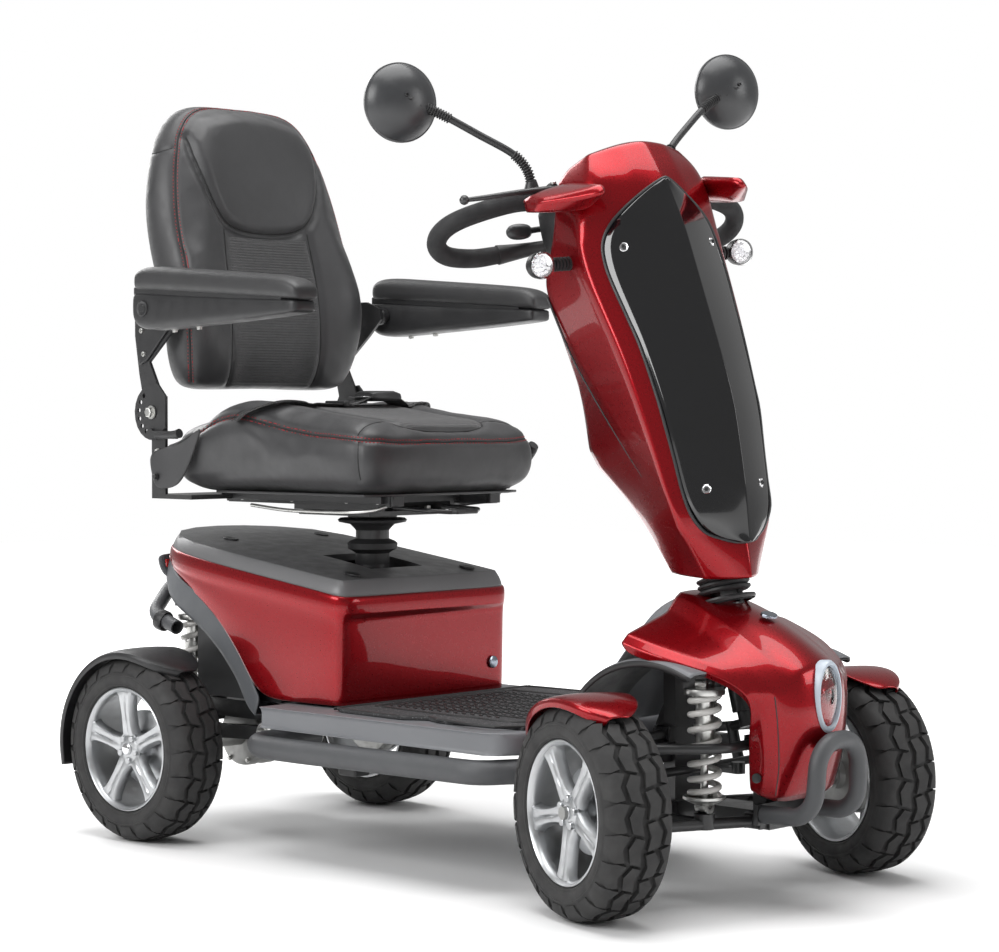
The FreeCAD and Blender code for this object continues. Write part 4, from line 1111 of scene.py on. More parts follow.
# ---- footwell ----
def footwell():
    """The grey tray with rounded lip and the flecked mat with its border and ribs."""
    low, high = (Vector(c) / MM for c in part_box("floor_tray"))
    front = [(low.x, low.y), (278, low.y), (300, low.y + 12), (high.x, low.y + 42)]
    outline = front + [(x, -y) for x, y in reversed(front)]
    rows = []
    for out, z in ((-7, low.z), (-1, low.z + 3), (0, low.z + 9), (0, high.z - 10), (-2, high.z - 4),
                   (-7, high.z)):
        rows.append([(x + (out if x > 0 else 0), y + math.copysign(out, y), z) for x, y in outline])
    tray = piece("tray_moulding", capped(rows), GREY_TRAY, "root", "grey_trim", ["floor_tray"], bevel=2.2,
                 sharp=50)
    post = pivot("seat_turn")
    carved(tray, block(post.x - 70, post.x + 150, -150, 150, low.z - 10, high.z - 6))
    low, high = (Vector(c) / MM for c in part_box("floor_mat"))
    edge = [(298, 212), (152, 239), (128, 236), (98, 224), (82, 232), (62, 246), (40, 248), (-90, 243),
            (-104, 236), (-111, 206)]
    outline = edge + [(x, -y) for x, y in reversed(edge)]
    top = [[(x, y, z) for x, y in outline] for z in (low.z, high.z - 1.6)]
    piece("mat_body", capped(top), MAT, "root", "mat_rubber", ["floor_mat"], bevel=1.0)
    rim = smooth_path([(x * 0.985, y * 0.985, high.z - 1.4) for x, y in outline], 4, closed=True)
    piece("mat_border", tube(rim, 2.6, 8, closed=True), MAT_EDGE, "root", "mat_rubber")
    inner = [(262, 150), (150, 176), (60, 178), (-60, 168), (-84, 140)]
    inner += [(x, -y) for x, y in reversed(inner)]
    line = smooth_path([(x, y, high.z - 1.2) for x, y in inner], 5, closed=True)
    piece("mat_panel_line", tube(line, 2.0, 8, closed=True), MAT_EDGE, "root", "mat_rubber")
    ribs = []
    for column in range(-8, 9):
        for row in range(-4, 14):
            x, y = row * 19.0 + 6, column * 18.0
            if not (-74 < x < 250 and abs(y) < 150 - max(0, x - 150) * 0.2):
                continue
            lean = 0.6 if column % 2 else -0.6
            bar = block(-9.5, 9.5, -2.0, 2.0, high.z - 2.2, high.z - 0.2)
            ribs.append(moved(bar, Matrix.Translation((x, y, 0)) @ Matrix.Rotation(lean, 4, "Z")))
    piece("mat_ribs", joined(*ribs), MAT_EDGE, "root", "mat_rubber", sharp=20)


# ---- rear body ----
REAR_PLAN = ((-120, 0), (-120, 120), (-121, 176), (-126, 201), (-146, 211), (-190, 213), (-250, 214),
             (-336, 214), (-376, 214), (-448, 212), (-540, 205), (-612, 182), (-668, 130), (-698, 66),
             (-707, 0))
REAR_LOW = (262, 262, 262, 262, 262, 262, 262, 262, 326, 402, 450, 480, 500, 508, 511)


def rim_height(x):
    """Height of the red body's upper edge."""
    return 447 + 0.1328 * (-118 - max(x, -600)) + 0.11 * max(0.0, -600 - x)


def offset_plan(amount):
    """The rear body's half outline moved outwards."""
    out = []
    last = len(REAR_PLAN) - 1
    for i, (x, y) in enumerate(REAR_PLAN):
        a = REAR_PLAN[max(i - 1, 0)]
        b = REAR_PLAN[min(i + 1, last)]
        way = Vector((b[0] - a[0], b[1] - a[1])).normalized()
        if i in (0, last):
            way = Vector((0, 1)) if i == 0 else Vector((0, -1))
        out.append((x + way.y * amount, y - way.x * amount if 0 < i < last else 0.0))
    return out


def rear_body():
    """Red cover with a rolled top edge, a step across its front face and the arch below."""
    rows = []
    front = 5
    spec = ((-9, 0.0, -1), (-3, 0.0, 2), (0.5, -3, -4), (1.5, -14, -16), (1.0, -30, -30),
            (-0.5, -38, -34))
    for out, drop_front, drop_side in spec:
        plan = offset_plan(out)
        row = []
        for k, (x, y) in enumerate(plan):
            step = 7.0 if (out == -0.5 and k < 3) else (3.0 if out == -0.5 and k == 3 else 0.0)
            drop = drop_front if k < front else drop_side
            top = rim_height(REAR_PLAN[k][0]) + drop
            if out == -0.5:
                top = max(top, REAR_LOW[k] + 6) if k > 8 else top
            row.append((x - step, y, max(top, REAR_LOW[k] + 3)))
        rows.append(row)
    for share, out in ((0.5, 0.0), (1.0, -2.0)):
        plan = offset_plan(out)
        row = []
        for k, (x, y) in enumerate(plan):
            step = 8.0 if k < 3 else (4.0 if k == 3 else 0.0)
            start = rows[5][k][2]
            row.append((x - step, y, start + (REAR_LOW[k] - start) * share))
        rows.append(row)
    flange = offset_plan(-14)
    rows.append([(x - (4 if k < 3 else 0), y, REAR_LOW[k] + (0 if k < 7 else 5))
                 for k, (x, y) in enumerate(flange)])
    lines = []
    lines += crease_lines([row[:4] for row in rows], None, {4: 0.7, 5: 0.8})
    lines += crease_lines(rows, None, {7: 0.75, 1: 0.3})
    lines.append(([row[7] for row in rows[5:]], 0.2))
    full = [half_ring(row) for row in rows]
    closed = grid(full, wrap_cols=True)
    piece("rear_cover_skin", closed, RED, "root", "red_shell", ["rear_shell"], levels=3, wall=3.0,
          creases=lines)
    badge = pointed(lathe([(0, 1.6), (9.5, 1.6), (11, 0.8), (11, -2), (0, -2)], 40), (-126.5, 168, 312),
                    (1, 0, 0))
    piece("blank_round_badge", badge, BLANK_BADGE, "root", "red_shell")


def deck():
    """Lift-off deck: a bevelled lip, a crowned top, a dark well round the seat post, two thumb caps."""
    lip_rows = []
    for out, rise in ((-7, -6), (-5, 0), (-5, 3), (-9, 14), (-17, 24), (-21, 25.5)):
        lip_rows.append([(x, y, rim_height(x) + rise) for x, y in offset_plan(out)])
    full = [half_ring(row) for row in lip_rows]
    lip_lines = [(full[r] + full[r][:1], strength) for r, strength in ((1, 0.4), (2, 0.6), (4, 0.5))]
    piece("deck_lip", grid(full, wrap_cols=True), LIP_GREY, "root", "deck_plastic", levels=2, wall=2.5,
          creases=lip_lines)
    plan = offset_plan(-19)
    ring = [(x, y) for x, y in plan] + [(x, -y) for x, y in reversed(plan[1:-1])]
    rows = []
    for share in (1.0, 0.93, 0.8, 0.6, 0.4, 0.2, 0.04):
        crown = 25.0 + 6.5 * (1 - share ** 3)
        rows.append([((x + 380) * share - 380, y * share, rim_height(x * share - 380 * (1 - share))
                      + crown) for x, y in ring])
    base = [(p[0], p[1], p[2] - 9) for p in rows[0]]
    tip = [(p[0], p[1], p[2] - 26) for p in rows[-1]]
    top = capped([tip, base] + rows)
    deck_top = piece("deck_top", top, DECK_GREY, "root", "deck_plastic", ["deck_cover"], sharp=30)
    post = pivot("seat_turn")
    well = block(post.x - 62, post.x + 62, -64, 64, 430, 600)
    carved(deck_top, well)
    tray = joined(block(post.x - 63, post.x + 63, -65, 65, 446, 449),
                  block(post.x - 64, post.x - 62, -65, 65, 448, 494),
                  block(post.x + 62, post.x + 64, -65, 65, 448, 482),
                  block(post.x - 63, post.x + 63, -66, -64, 448, 482),
                  block(post.x - 63, post.x + 63, 64, 66, 448, 482))
    piece("deck_well", tray, BLACK_PLASTIC, "root", "deck_plastic")
    for k, (x, y) in enumerate(((-520, -112), (-168, -142), (-520, 112), (-168, 142))):
        z = rim_height(x) + 29.2 + (1.4 if abs(y) < 130 else 0.2)
        rings = [oval(17 * s, 11 * s, h, 24) for s, h in ((1.0, -2), (1.0, 0.8), (0.93, 1.4), (0.6, 0.6))]
        cap = moved(capped(rings), posed((x, y, z), (7.6, "Y")))
        piece("deck_cap_%d" % (k + 1), cap, BLACK_PLASTIC, "root", "deck_plastic", bevel=0.4)


def rear_arches():
    """Satin inner arches under the red cover, with a tail panel carrying lamps and reflectors."""
    for name, side in SIDES:
        rows = []
        for k, (x, z) in enumerate(((-338, 258), (-356, 276), (-376, 324), (-410, 366), (-450, 402),
                                    (-505, 434), (-560, 456), (-612, 480), (-652, 494))):
            taper = 1.0 - 0.5 * max(0.0, (-560 - x) / 90)
            drop = 30 + 14 * math.sin(math.pi * k / 8)
            y = 206 - 60 * max(0, (k - 6)) / 2
            rows.append([(x, side * (y - 2), z + 4), (x - drop * 0.25, side * (y - 1), z - drop * 0.45),
                         (x - drop * 0.6, side * (y - 5), z - drop),
                         (x - drop * 0.6, side * (y - 60 * taper), z - drop - 2)])
        line = [row[2] for row in rows]
        piece("rear_arch_trim_" + name, grid(rows), GREY_TRIM, "root", "grey_trim", ["rear_arch_trims"],
              levels=2, wall=3.0, creases=[(line, 0.6)])
        inner = [(-350, 262), (-392, 300), (-430, 356), (-500, 404), (-560, 426), (-640, 460),
                 (-640, 486), (-560, 452), (-500, 430), (-440, 388), (-396, 340), (-372, 290)]
        wall = plate([(x - 4, z + 2) for x, z in inner], 4, "y", 150)
        piece("rear_inner_wall_" + name, sided(wall, side), BLACK_PLASTIC, "root", "grey_trim")
        lamp = capped([[(x, y, z) for y, z in ((96, 470), (150, 474), (152, 490), (98, 487))]
                       for x in (-668, -657)])
        piece("tail_lamp_" + name, sided(lamp, side), plastic("tail_lamp_red_" + name, (0.45, 0.01, 0.01),
                                                              0.12, 0.02, 400.0, 0.1, 0.8), "root",
              "lamp_lens", bevel=2.5)
    tail = [[(-660, y, 500), (-664, y * 0.98, 486), (-661, y * 0.95, 466), (-648, y * 0.9, 452)] for y in
            (-168, -120, -60, 0, 60, 120, 168)]
    piece("tail_panel", grid(tail), GREY_TRIM, "root", "grey_trim", levels=2, wall=3.0)
    reflector = block(-668, -662, -34, 34, 470, 486)
    piece("tail_reflector", reflector, BUTTON_RED, "root", "lamp_lens", bevel=2.0)
    for name, side in SIDES:
        clamp = pointed(lathe([(13.4, -9), (18, -9), (19, -6), (19, 6), (18, 9), (13.4, 9)], 28),
                        (-606, side * 201, 382), (-0.9, side * 0.12, 0.25))
        piece("handle_clamp_" + name, clamp, BLACK_PLASTIC, "root", "black_steel")


footwell()
rear_body()
deck()
rear_arches()


# ---- tiller, in the straight-ahead frame ----
RIDGE = ((500, 612), (560, 608), (660, 606), (785, 588), (886, 548), (1055, 479), (1140, 430),
         (1206, 366))
PANEL_EDGE = ((563, 12, 600), (570, 34, 586), (582, 56, 572), (610, 74, 563), (650, 80, 550),
              (700, 84, 539), (760, 90, 525), (800, 92, 511), (871, 97, 483), (920, 102, 457),
              (967, 108, 432), (1000, 110, 415), (1030, 108, 404), (1052, 101, 402), (1072, 88, 405),
              (1090, 70, 410), (1108, 48, 416), (1124, 26, 424), (1136, 5, 431))


def ridge_x(z):
    """How far forward the tiller's middle crease lies at a height."""
    for (z0, x0), (z1, x1) in zip(RIDGE, RIDGE[1:]):
        if z <= z1:
            share = (z - z0) / (z1 - z0)
            return x0 + (x1 - x0) * share
    return RIDGE[-1][1]


def on_tiller(name, mesh, finish, slot=None, stands_for=(), body="tiller", creases=(), **options):
    """A tiller piece: placed straight ahead, then turned to the stored steering angle."""
    return piece(name, moved(mesh, STEERED), finish, body, slot, stands_for,
                 creases=placed_lines(creases, STEERED), **options)


def tiller_shell():
    """Two-part shell: V front, flange round the panel, flat flanks and a keel-like fin behind."""
    rows = [
        [(604, 0, 512), (586, 24, 511), (556, 44, 512), (505, 54, 514), (462, 46, 516), (456, 0, 516)],
        [(612, 0, 506), (592, 26, 505), (560, 49, 506), (505, 58, 508), (456, 49, 509), (450, 0, 509)],
        [(609, 0, 540), (588, 32, 542), (556, 66, 548), (480, 66, 548), (428, 52, 544), (420, 0, 544)],
        [(602, 0, 572), (574, 44, 578), (549, 84, 584), (452, 76, 584), (398, 54, 580), (390, 0, 580)],
        [(600, 0, 606), (558, 72, 610), (544, 92, 616), (442, 80, 622), (352, 60, 624), (346, 0, 624)],
        [(600, 0, 650), (544, 79, 650), (530, 98, 654), (440, 88, 672), (286, 74, 676), (280, 0, 676)],
        [(596, 0, 700), (532, 83, 700), (517, 103, 706), (422, 95, 712), (268, 78, 704), (262, 0, 704)],
        [(580, 0, 790), (506, 92, 790), (489, 113, 792), (359, 106, 792), (270, 84, 778), (264, 0, 778)],
        [(551, 0, 866), (478, 98, 866), (460, 120, 868), (300, 114, 858), (280, 102, 836), (266, 0, 836)],
        [(513, 0, 955), (430, 108, 955), (412, 131, 958), (250, 122, 948), (240, 112, 938), (250, 0, 938)],
        [(494, 0, 1000), (408, 111, 1000), (390, 134, 1004), (246, 128, 988), (238, 118, 984),
         (252, 0, 984)],
        [(472, 0, 1048), (398, 107, 1046), (376, 134, 1052), (296, 134, 1044), (286, 122, 1040),
         (272, 0, 1040)],
        [(452, 0, 1090), (408, 80, 1086), (378, 124, 1096), (310, 134, 1098), (298, 122, 1096),
         (276, 0, 1096)],
        [(430, 0, 1126), (418, 46, 1124), (384, 108, 1134), (306, 128, 1130), (292, 118, 1126),
         (272, 0, 1124)],
        [(406, 0, 1160), (400, 44, 1156), (372, 98, 1160), (304, 118, 1146), (286, 110, 1140),
         (270, 0, 1138)],
        [(374, 0, 1200), (368, 44, 1194), (346, 88, 1182), (304, 100, 1164), (282, 96, 1152),
         (272, 0, 1148)],
        [(352, 0, 1205), (346, 40, 1199), (328, 76, 1186), (298, 86, 1170), (280, 82, 1158),
         (276, 0, 1156)],
        [(318, 0, 1192), (314, 30, 1188), (304, 54, 1178), (290, 62, 1168), (282, 60, 1162),
         (280, 0, 1162)],
    ]
    lines = crease_lines(rows, {2: 0.75, 4: 0.9}, {1: 0.8, 15: 0.45})
    lines += crease_lines([row[3:5] for row in rows], None, {5: 0.6, 6: 0.6})
    lines += crease_lines(rows[1:7], {0: 0.7})
    lines += crease_lines(rows[4:12], {3: 0.95, 4: 0.7})
    lines += crease_lines(rows[11:16], {0: 0.45, 1: 0.6, 2: 0.4, 3: 0.7})
    lines += crease_lines([row[:3] for row in rows], None, {3: 0.45})
    full = [half_ring(row) for row in rows]
    verts, faces = grid(full, wrap_cols=True)
    count = len(full[0])
    faces = list(faces) + [tuple(range((len(full) - 1) * count, len(full) * count))]
    on_tiller("tiller_shell", (verts, faces), RED, "red_shell", ["tiller_cover"], creases=lines, levels=3,
              wall=3.0)
    for name, side in SIDES:
        groove = [(250, 124.5, 958), (302, 119.2, 868), (361, 113.2, 792), (424, 101.8, 712),
                  (462, 95.5, 668)]
        line = smooth_path([(x, side * y, z) for x, y, z in groove], 8)
        on_tiller("flank_groove_" + name, tube(line, lambda t: 2.2 * (1 - 0.75 * t), 8), BLACK_PLASTIC,
                  "red_shell")


def panel_point(share, z, lift=0.0):
    """A point on the panel: share 0 on the crease, 1 on its edge."""
    for (z0, y0, x0), (z1, y1, x1) in zip(PANEL_EDGE, PANEL_EDGE[1:]):
        if z <= z1:
            k = (z - z0) / (z1 - z0)
            y, x = y0 + (y1 - y0) * k, x0 + (x1 - x0) * k
            break
    front = ridge_x(z) + 6
    bow = 3.0 * math.sin(math.pi * min(abs(share), 1.0))
    return (front + (x + 6 - front) * abs(share) + bow + lift, y * share, z)


def tiller_panel():
    """Glossy V-shaped panel with a rounded edge, four chrome-ringed screws and two fine lines."""
    shares = (-1, -0.93, -0.7, -0.4, -0.12, 0, 0.12, 0.4, 0.7, 0.93, 1)
    rows, heights = [], [z for z, _, _ in PANEL_EDGE]
    heights[0] += 0.5
    for z in heights:
        rows.append([panel_point(s, z, -5 if abs(s) == 1 else 0) for s in shares])
    lines = [([row[5] for row in rows], 0.8)]
    for c in (1, 9):
        lines.append(([row[c] for row in rows], 0.6))
    on_tiller("front_panel", grid(rows), BLACK_GLOSS, "panel_gloss", ["tiller_panel"], creases=lines,
              levels=3, wall=3.0)
    rim = [Vector(panel_point(1, z, -3)) for z in heights]
    loop = rim + [Vector((p.x, -p.y, p.z)) for p in reversed(rim)]
    on_tiller("panel_gasket", tube(smooth_path(loop, 4, closed=True), 2.6, 8, closed=True), BLACK_PLASTIC,
              "panel_gloss")
    for share, z in ((-0.77, 1031), (0.77, 1031), (-0.64, 649), (0.64, 649)):
        at = Vector(panel_point(share, z))
        beside = Vector(panel_point(share * 0.9, z)) - at
        above = Vector(panel_point(share, z + 8)) - at
        way = beside.cross(above).normalized()
        if way.x < 0:
            way.negate()
        cup = lathe([(0, 0.3), (4.6, 0.3), (5.0, 1.3), (6.4, 1.6), (7.2, 0.8), (7.4, -2), (0, -2)], 32)
        tag = "%s_%d" % ("right" if share < 0 else "left", z)
        on_tiller("panel_screw_ring_" + tag, pointed(cup, at, way), CHROME, "panel_gloss")
        on_tiller("panel_screw_" + tag, socket_screw(at + way * 0.8, way, 3.6), BLACK_STEEL,
                  "panel_gloss")


def tiller_wings():
    """Faceted swept wing on each shoulder."""
    wing = [
        [(482, 118, 1120), (470, 116, 1136), (350, 108, 1143), (312, 112, 1130), (330, 116, 1106),
         (430, 118, 1098)],
        [(452, 146, 1114), (444, 144, 1126), (350, 140, 1138), (308, 142, 1124), (326, 144, 1096),
         (412, 146, 1092)],
        [(412, 172, 1112), (404, 170, 1120), (344, 170, 1132), (308, 172, 1120), (326, 172, 1094),
         (388, 172, 1092)],
        [(372, 198, 1110), (366, 196, 1116), (342, 197, 1122), (322, 199, 1116), (330, 199, 1096),
         (362, 198, 1095)],
    ]
    full = capped(wing)
    lines = []
    for c in range(6):
        lines.append(([row[c] for row in wing], 0.97))
    lines.append((wing[-1] + wing[-1][:1], 0.97))
    for name, side in SIDES:
        flipped = [([(x, side * y, z) for x, y, z in line], s) for line, s in lines]
        on_tiller("shoulder_wing_" + name, sided(full, side), RED, "red_shell", creases=flipped, levels=2)


def indicators():
    """Round clear lamps with a ring of diodes, on ribbed rubber stalks."""
    for name, side in SIDES:
        centre_x, y, z = 347, side * 190, 1011
        body = lathe([(9, -20), (16, -17), (20.5, -8), (22, 2), (22, 8), (20, 9), (19, 6), (0, 5)], 40)
        on_tiller("indicator_housing_" + name, pointed(body, (centre_x, y, z), (1, 0, 0)), BLACK_PLASTIC,
                  "lamp_lens", ["indicator_lamps"])
        bowl = lathe([(19.2, 8.2), (17, 6.6), (0, 6.4)], 32)
        on_tiller("indicator_reflector_" + name, pointed(bowl, (centre_x, y, z), (1, 0, 0)), CHROME,
                  "lamp_lens")
        chips = []
        for count, radius in ((1, 0), (6, 6.2), (11, 12.6)):
            for k in range(count):
                a = 2 * math.pi * k / count
                chip = lathe([(2.7, 6.5), (2.6, 9.2), (1.6, 10.6), (0, 11.0)], 12)
                chips.append(shifted(chip, radius * math.cos(a), radius * math.sin(a), 0))
        on_tiller("indicator_diodes_" + name, pointed(joined(*chips), (centre_x, y, z), (1, 0, 0)),
                  glow("indicator_diode_" + name, (0.96, 0.96, 0.98), 0.35), "lamp_lens")
        dome = lathe([(21.6, 6.5), (21.4, 11), (19, 14), (12, 16.4), (0, 17.2)], 40)
        on_tiller("indicator_lens_" + name, pointed(dome, (centre_x, y, z), (1, 0, 0)), CLEAR,
                  "lamp_lens", wall=1.0)
        ribs = [(8.5, 0)]
        for k in range(6):
            ribs += [(11.5, 2 + 6.5 * k), (11.5, 5 + 6.5 * k), (8.5, 6 + 6.5 * k), (8.5, 8 + 6.5 * k)]
        stalk = pointed(lathe([(0, 0)] + ribs, 24), (341, side * 130, 1011), (0.02, side, 0))
        on_tiller("indicator_stalk_" + name, stalk, RUBBER, "lamp_lens")


def grips():
    """Foam-covered delta loops with a wrist bend, plugs, sleeves and clamp blocks."""
    for name, side in SIDES:
        route = [(226, 72, 1110), (229, 110, 1115), (229, 160, 1116), (224, 220, 1105), (211, 266, 1090),
                 (196, 287, 1072), (182, 286, 1052), (172, 262, 1036), (166, 214, 1030), (168, 168, 1033)]
        path = smooth_path([(x, side * y, z) for x, y, z in route], 8)
        foam = tube(path, lambda t: 16.0 - 1.2 * abs(2 * t - 1) ** 6, 24)
        on_tiller("foam_grip_" + name, foam, FOAM, "grip_foam", ["handlebar"])
        tail = [(168, 168, 1033), (174, 140, 1036), (190, 108, 1040), (214, 74, 1042)]
        sleeve = smooth_path([(x, side * y, z) for x, y, z in tail], 8)
        on_tiller("grip_sleeve_" + name, tube(sleeve, lambda t: 16.6 - 5.4 * min(1.0, t * 1.6), 20),
                  RUBBER, "grip_foam")
        for k, (x, y, z) in enumerate(((226, 84, 1112), (208, 82, 1042))):
            collar = lathe([(12, -6), (18, -5), (19, 0), (18, 5), (12, 6)], 28)
            on_tiller("grip_clamp_%s_%d" % (name, k), pointed(collar, (x, side * y, z), (0.05, side, 0)),
                      BLACK_PLASTIC, "grip_foam")
            on_tiller("grip_clamp_bolt_%s_%d" % (name, k),
                      socket_screw((x, side * y, z + 18), (0, 0, 1), 4), ZINC, "grip_foam")


def console():
    """Dark control pod with a sloped face: screen, knob bezel, key switch, rockers and a red button."""
    rows = []
    for y, inset_z in ((-112, 20), (-104, 6), (-70, 0), (0, 0), (70, 0), (104, 6), (112, 20)):
        rows.append([(300, y, 1146 - inset_z * 0.8), (262, y, 1144 - inset_z), (222, y, 1126 - inset_z),
                     (205, y, 1102 - inset_z * 0.6), (214, y, 1034 + inset_z), (232, y, 1012 + inset_z),
                     (300, y, 1004 + inset_z)])
    lines = [([row[c] for row in rows], 0.7) for c in (1, 2, 3, 5)] + [(rows[1], 0.5), (rows[5], 0.5)]
    on_tiller("control_pod", capped(rows), BLACK_PLASTIC, "control_plastic", creases=lines, levels=2)
    tilt = posed((242, 0, 1138), (-26, "Y"))
    screen = capped([[(a * s, b * s, h) for a, b in ((-12, -30), (12, -30), (12, 30), (-12, 30))]
                     for s, h in ((1, -4), (1, 1.2), (0.94, 1.8))])
    on_tiller("battery_gauge_screen", moved(screen, tilt), BLACK_GLOSS, "control_plastic", bevel=1.2)
    marks = [shifted(block(-3, 3, -2.2, 2.2, 1.7, 2.2), 0, -20 + 8 * k, 0) for k in range(6)]
    on_tiller("gauge_marks", moved(joined(*marks), tilt), glow("gauge_green", (0.10, 0.42, 0.12), 0.25),
              "control_plastic")
    for k, (y, finish) in enumerate(((-62, BUTTON_RED), (-44, MIRROR_BACK), (44, MIRROR_BACK),
                                     (62, MIRROR_BACK), (80, MIRROR_BACK))):
        button = lathe([(7.5, -4), (8, -1), (8, 0.5), (6, 0.8), (6, 3.2), (5, 4.0), (0, 4.3)], 24)
        on_tiller("console_button_%d" % (k + 1), moved(shifted(button, 0, y, 0), tilt), finish,
                  "control_plastic")
    key = joined(lathe([(9, -2), (10, 0), (10, 3), (8, 4), (0, 4)], 28),
                 block(-1.2, 1.2, -4.5, 4.5, 3, 16))
    on_tiller("key_switch", pointed(key, (207, -46, 1092), (-1, 0, 0.2)), CHROME, "control_plastic")
    bezel = lathe([(13, -3), (16, -1), (16, 1), (13, 2)], 36)
    on_tiller("speed_knob_bezel", pointed(bezel, (209, 46, 1098), (-1, 0, 0)), CHROME, "control_plastic")
    ticks = [(11.2 if k % 2 else 12.6, 0) for k in range(32)]
    knob = capped([[(r * math.cos(math.pi * k / 16), r * math.sin(math.pi * k / 16), h)
                    for k, (r, _) in enumerate(ticks)] for h in (0, 11)] + [oval(8.5, 8.5, 14.5)])
    on_tiller("ribbed_speed_knob", pointed(knob, (211.5, 46, 1098), (-1, 0, 0)), MIRROR_BACK,
              "control_plastic", ["speed_dial"], body="speed_dial", bevel=0.5)
    mark = pointed(block(-0.8, 0.8, 1, 8, 14.3, 15.0), (211.5, 46, 1098), (-1, 0, 0))
    on_tiller("speed_knob_mark", mark, SPRING_WHITE, "control_plastic", body="speed_dial")


def levers():
    """The thumb lever with rounded paddles, and the hand brake with its ball end and clamp."""
    lever_x = 188.0
    hub = lathe([(0, 0), (12, 0), (13, 2), (13, 16), (11, 18), (0, 18)], 32)
    on_tiller("thumb_lever_hub", shifted(hub, lever_x, 0, 1064), BLACK_PLASTIC, "control_plastic",
              ["wigwag_lever"], body="wigwag_lever")
    for name, side in SIDES:
        path = [Vector((lever_x, side * y, 1073 + h))
                for y, h in ((6, 0), (60, 0), (100, -2), (124, -4), (152, -4))]
        section = [(-5, -5), (5, -5), (7, 0), (5, 5), (-5, 5), (-7, 0)]
        arm = ribbon(smooth_path(path, 6), section, up=(0, 0, 1))
        on_tiller("thumb_lever_arm_" + name, arm, BLACK_PLASTIC, "control_plastic", body="wigwag_lever",
                  bevel=1.5)
        cap = capped([[(lever_x + r * math.cos(a), side * y, 1069 + 1.35 * r * math.sin(a)) for a in
                       [2 * math.pi * k / 20 for k in range(20)]] for y, r in
                      ((112, 5), (118, 9), (134, 10.5), (148, 9.5), (156, 6.5), (159, 2))])
        on_tiller("thumb_paddle_" + name, cap, MIRROR_BACK, "control_plastic", body="wigwag_lever",
                  levels=1)
    blade = ((252, -96, 1134), (258, -130, 1133), (262, -180, 1130), (259, -230, 1126), (250, -262, 1124))
    path = smooth_path(blade, 8)
    on_tiller("brake_blade", tube(path, lambda t: 6.5 - 2.6 * t, 14), BLACK_STEEL, "black_steel",
              ["brake_lever"], body="brake_lever")
    ball = lathe([(0, -8)] + [(8 * math.cos(a), 8 * math.sin(a))
                              for a in [math.radians(d) for d in range(-75, 90, 15)]] + [(0, 8)], 24)
    on_tiller("brake_ball_end", shifted(ball, 250, -266, 1124), BLACK_STEEL, "black_steel",
              body="brake_lever")
    perch = ((240, -92, 1118), (246, -98, 1130), (252, -104, 1136))
    on_tiller("brake_perch", tube(smooth_path(perch, 6), 11, 18), BLACK_PLASTIC, "black_steel")
    on_tiller("brake_pivot_screw", socket_screw((251, -100, 1142), (0, 0, 1), 5), ZINC, "black_steel",
              body="brake_lever")


def beads(path, start, end, step):
    """Points and directions evenly spaced along part of a path."""
    found, walked, due = [], 0.0, start
    for a, b in zip(path, path[1:]):
        length = (b - a).length
        while due <= min(walked + length, end):
            found.append((a.lerp(b, (due - walked) / length), (b - a).normalized()))
            due += step
        walked += length
    return found


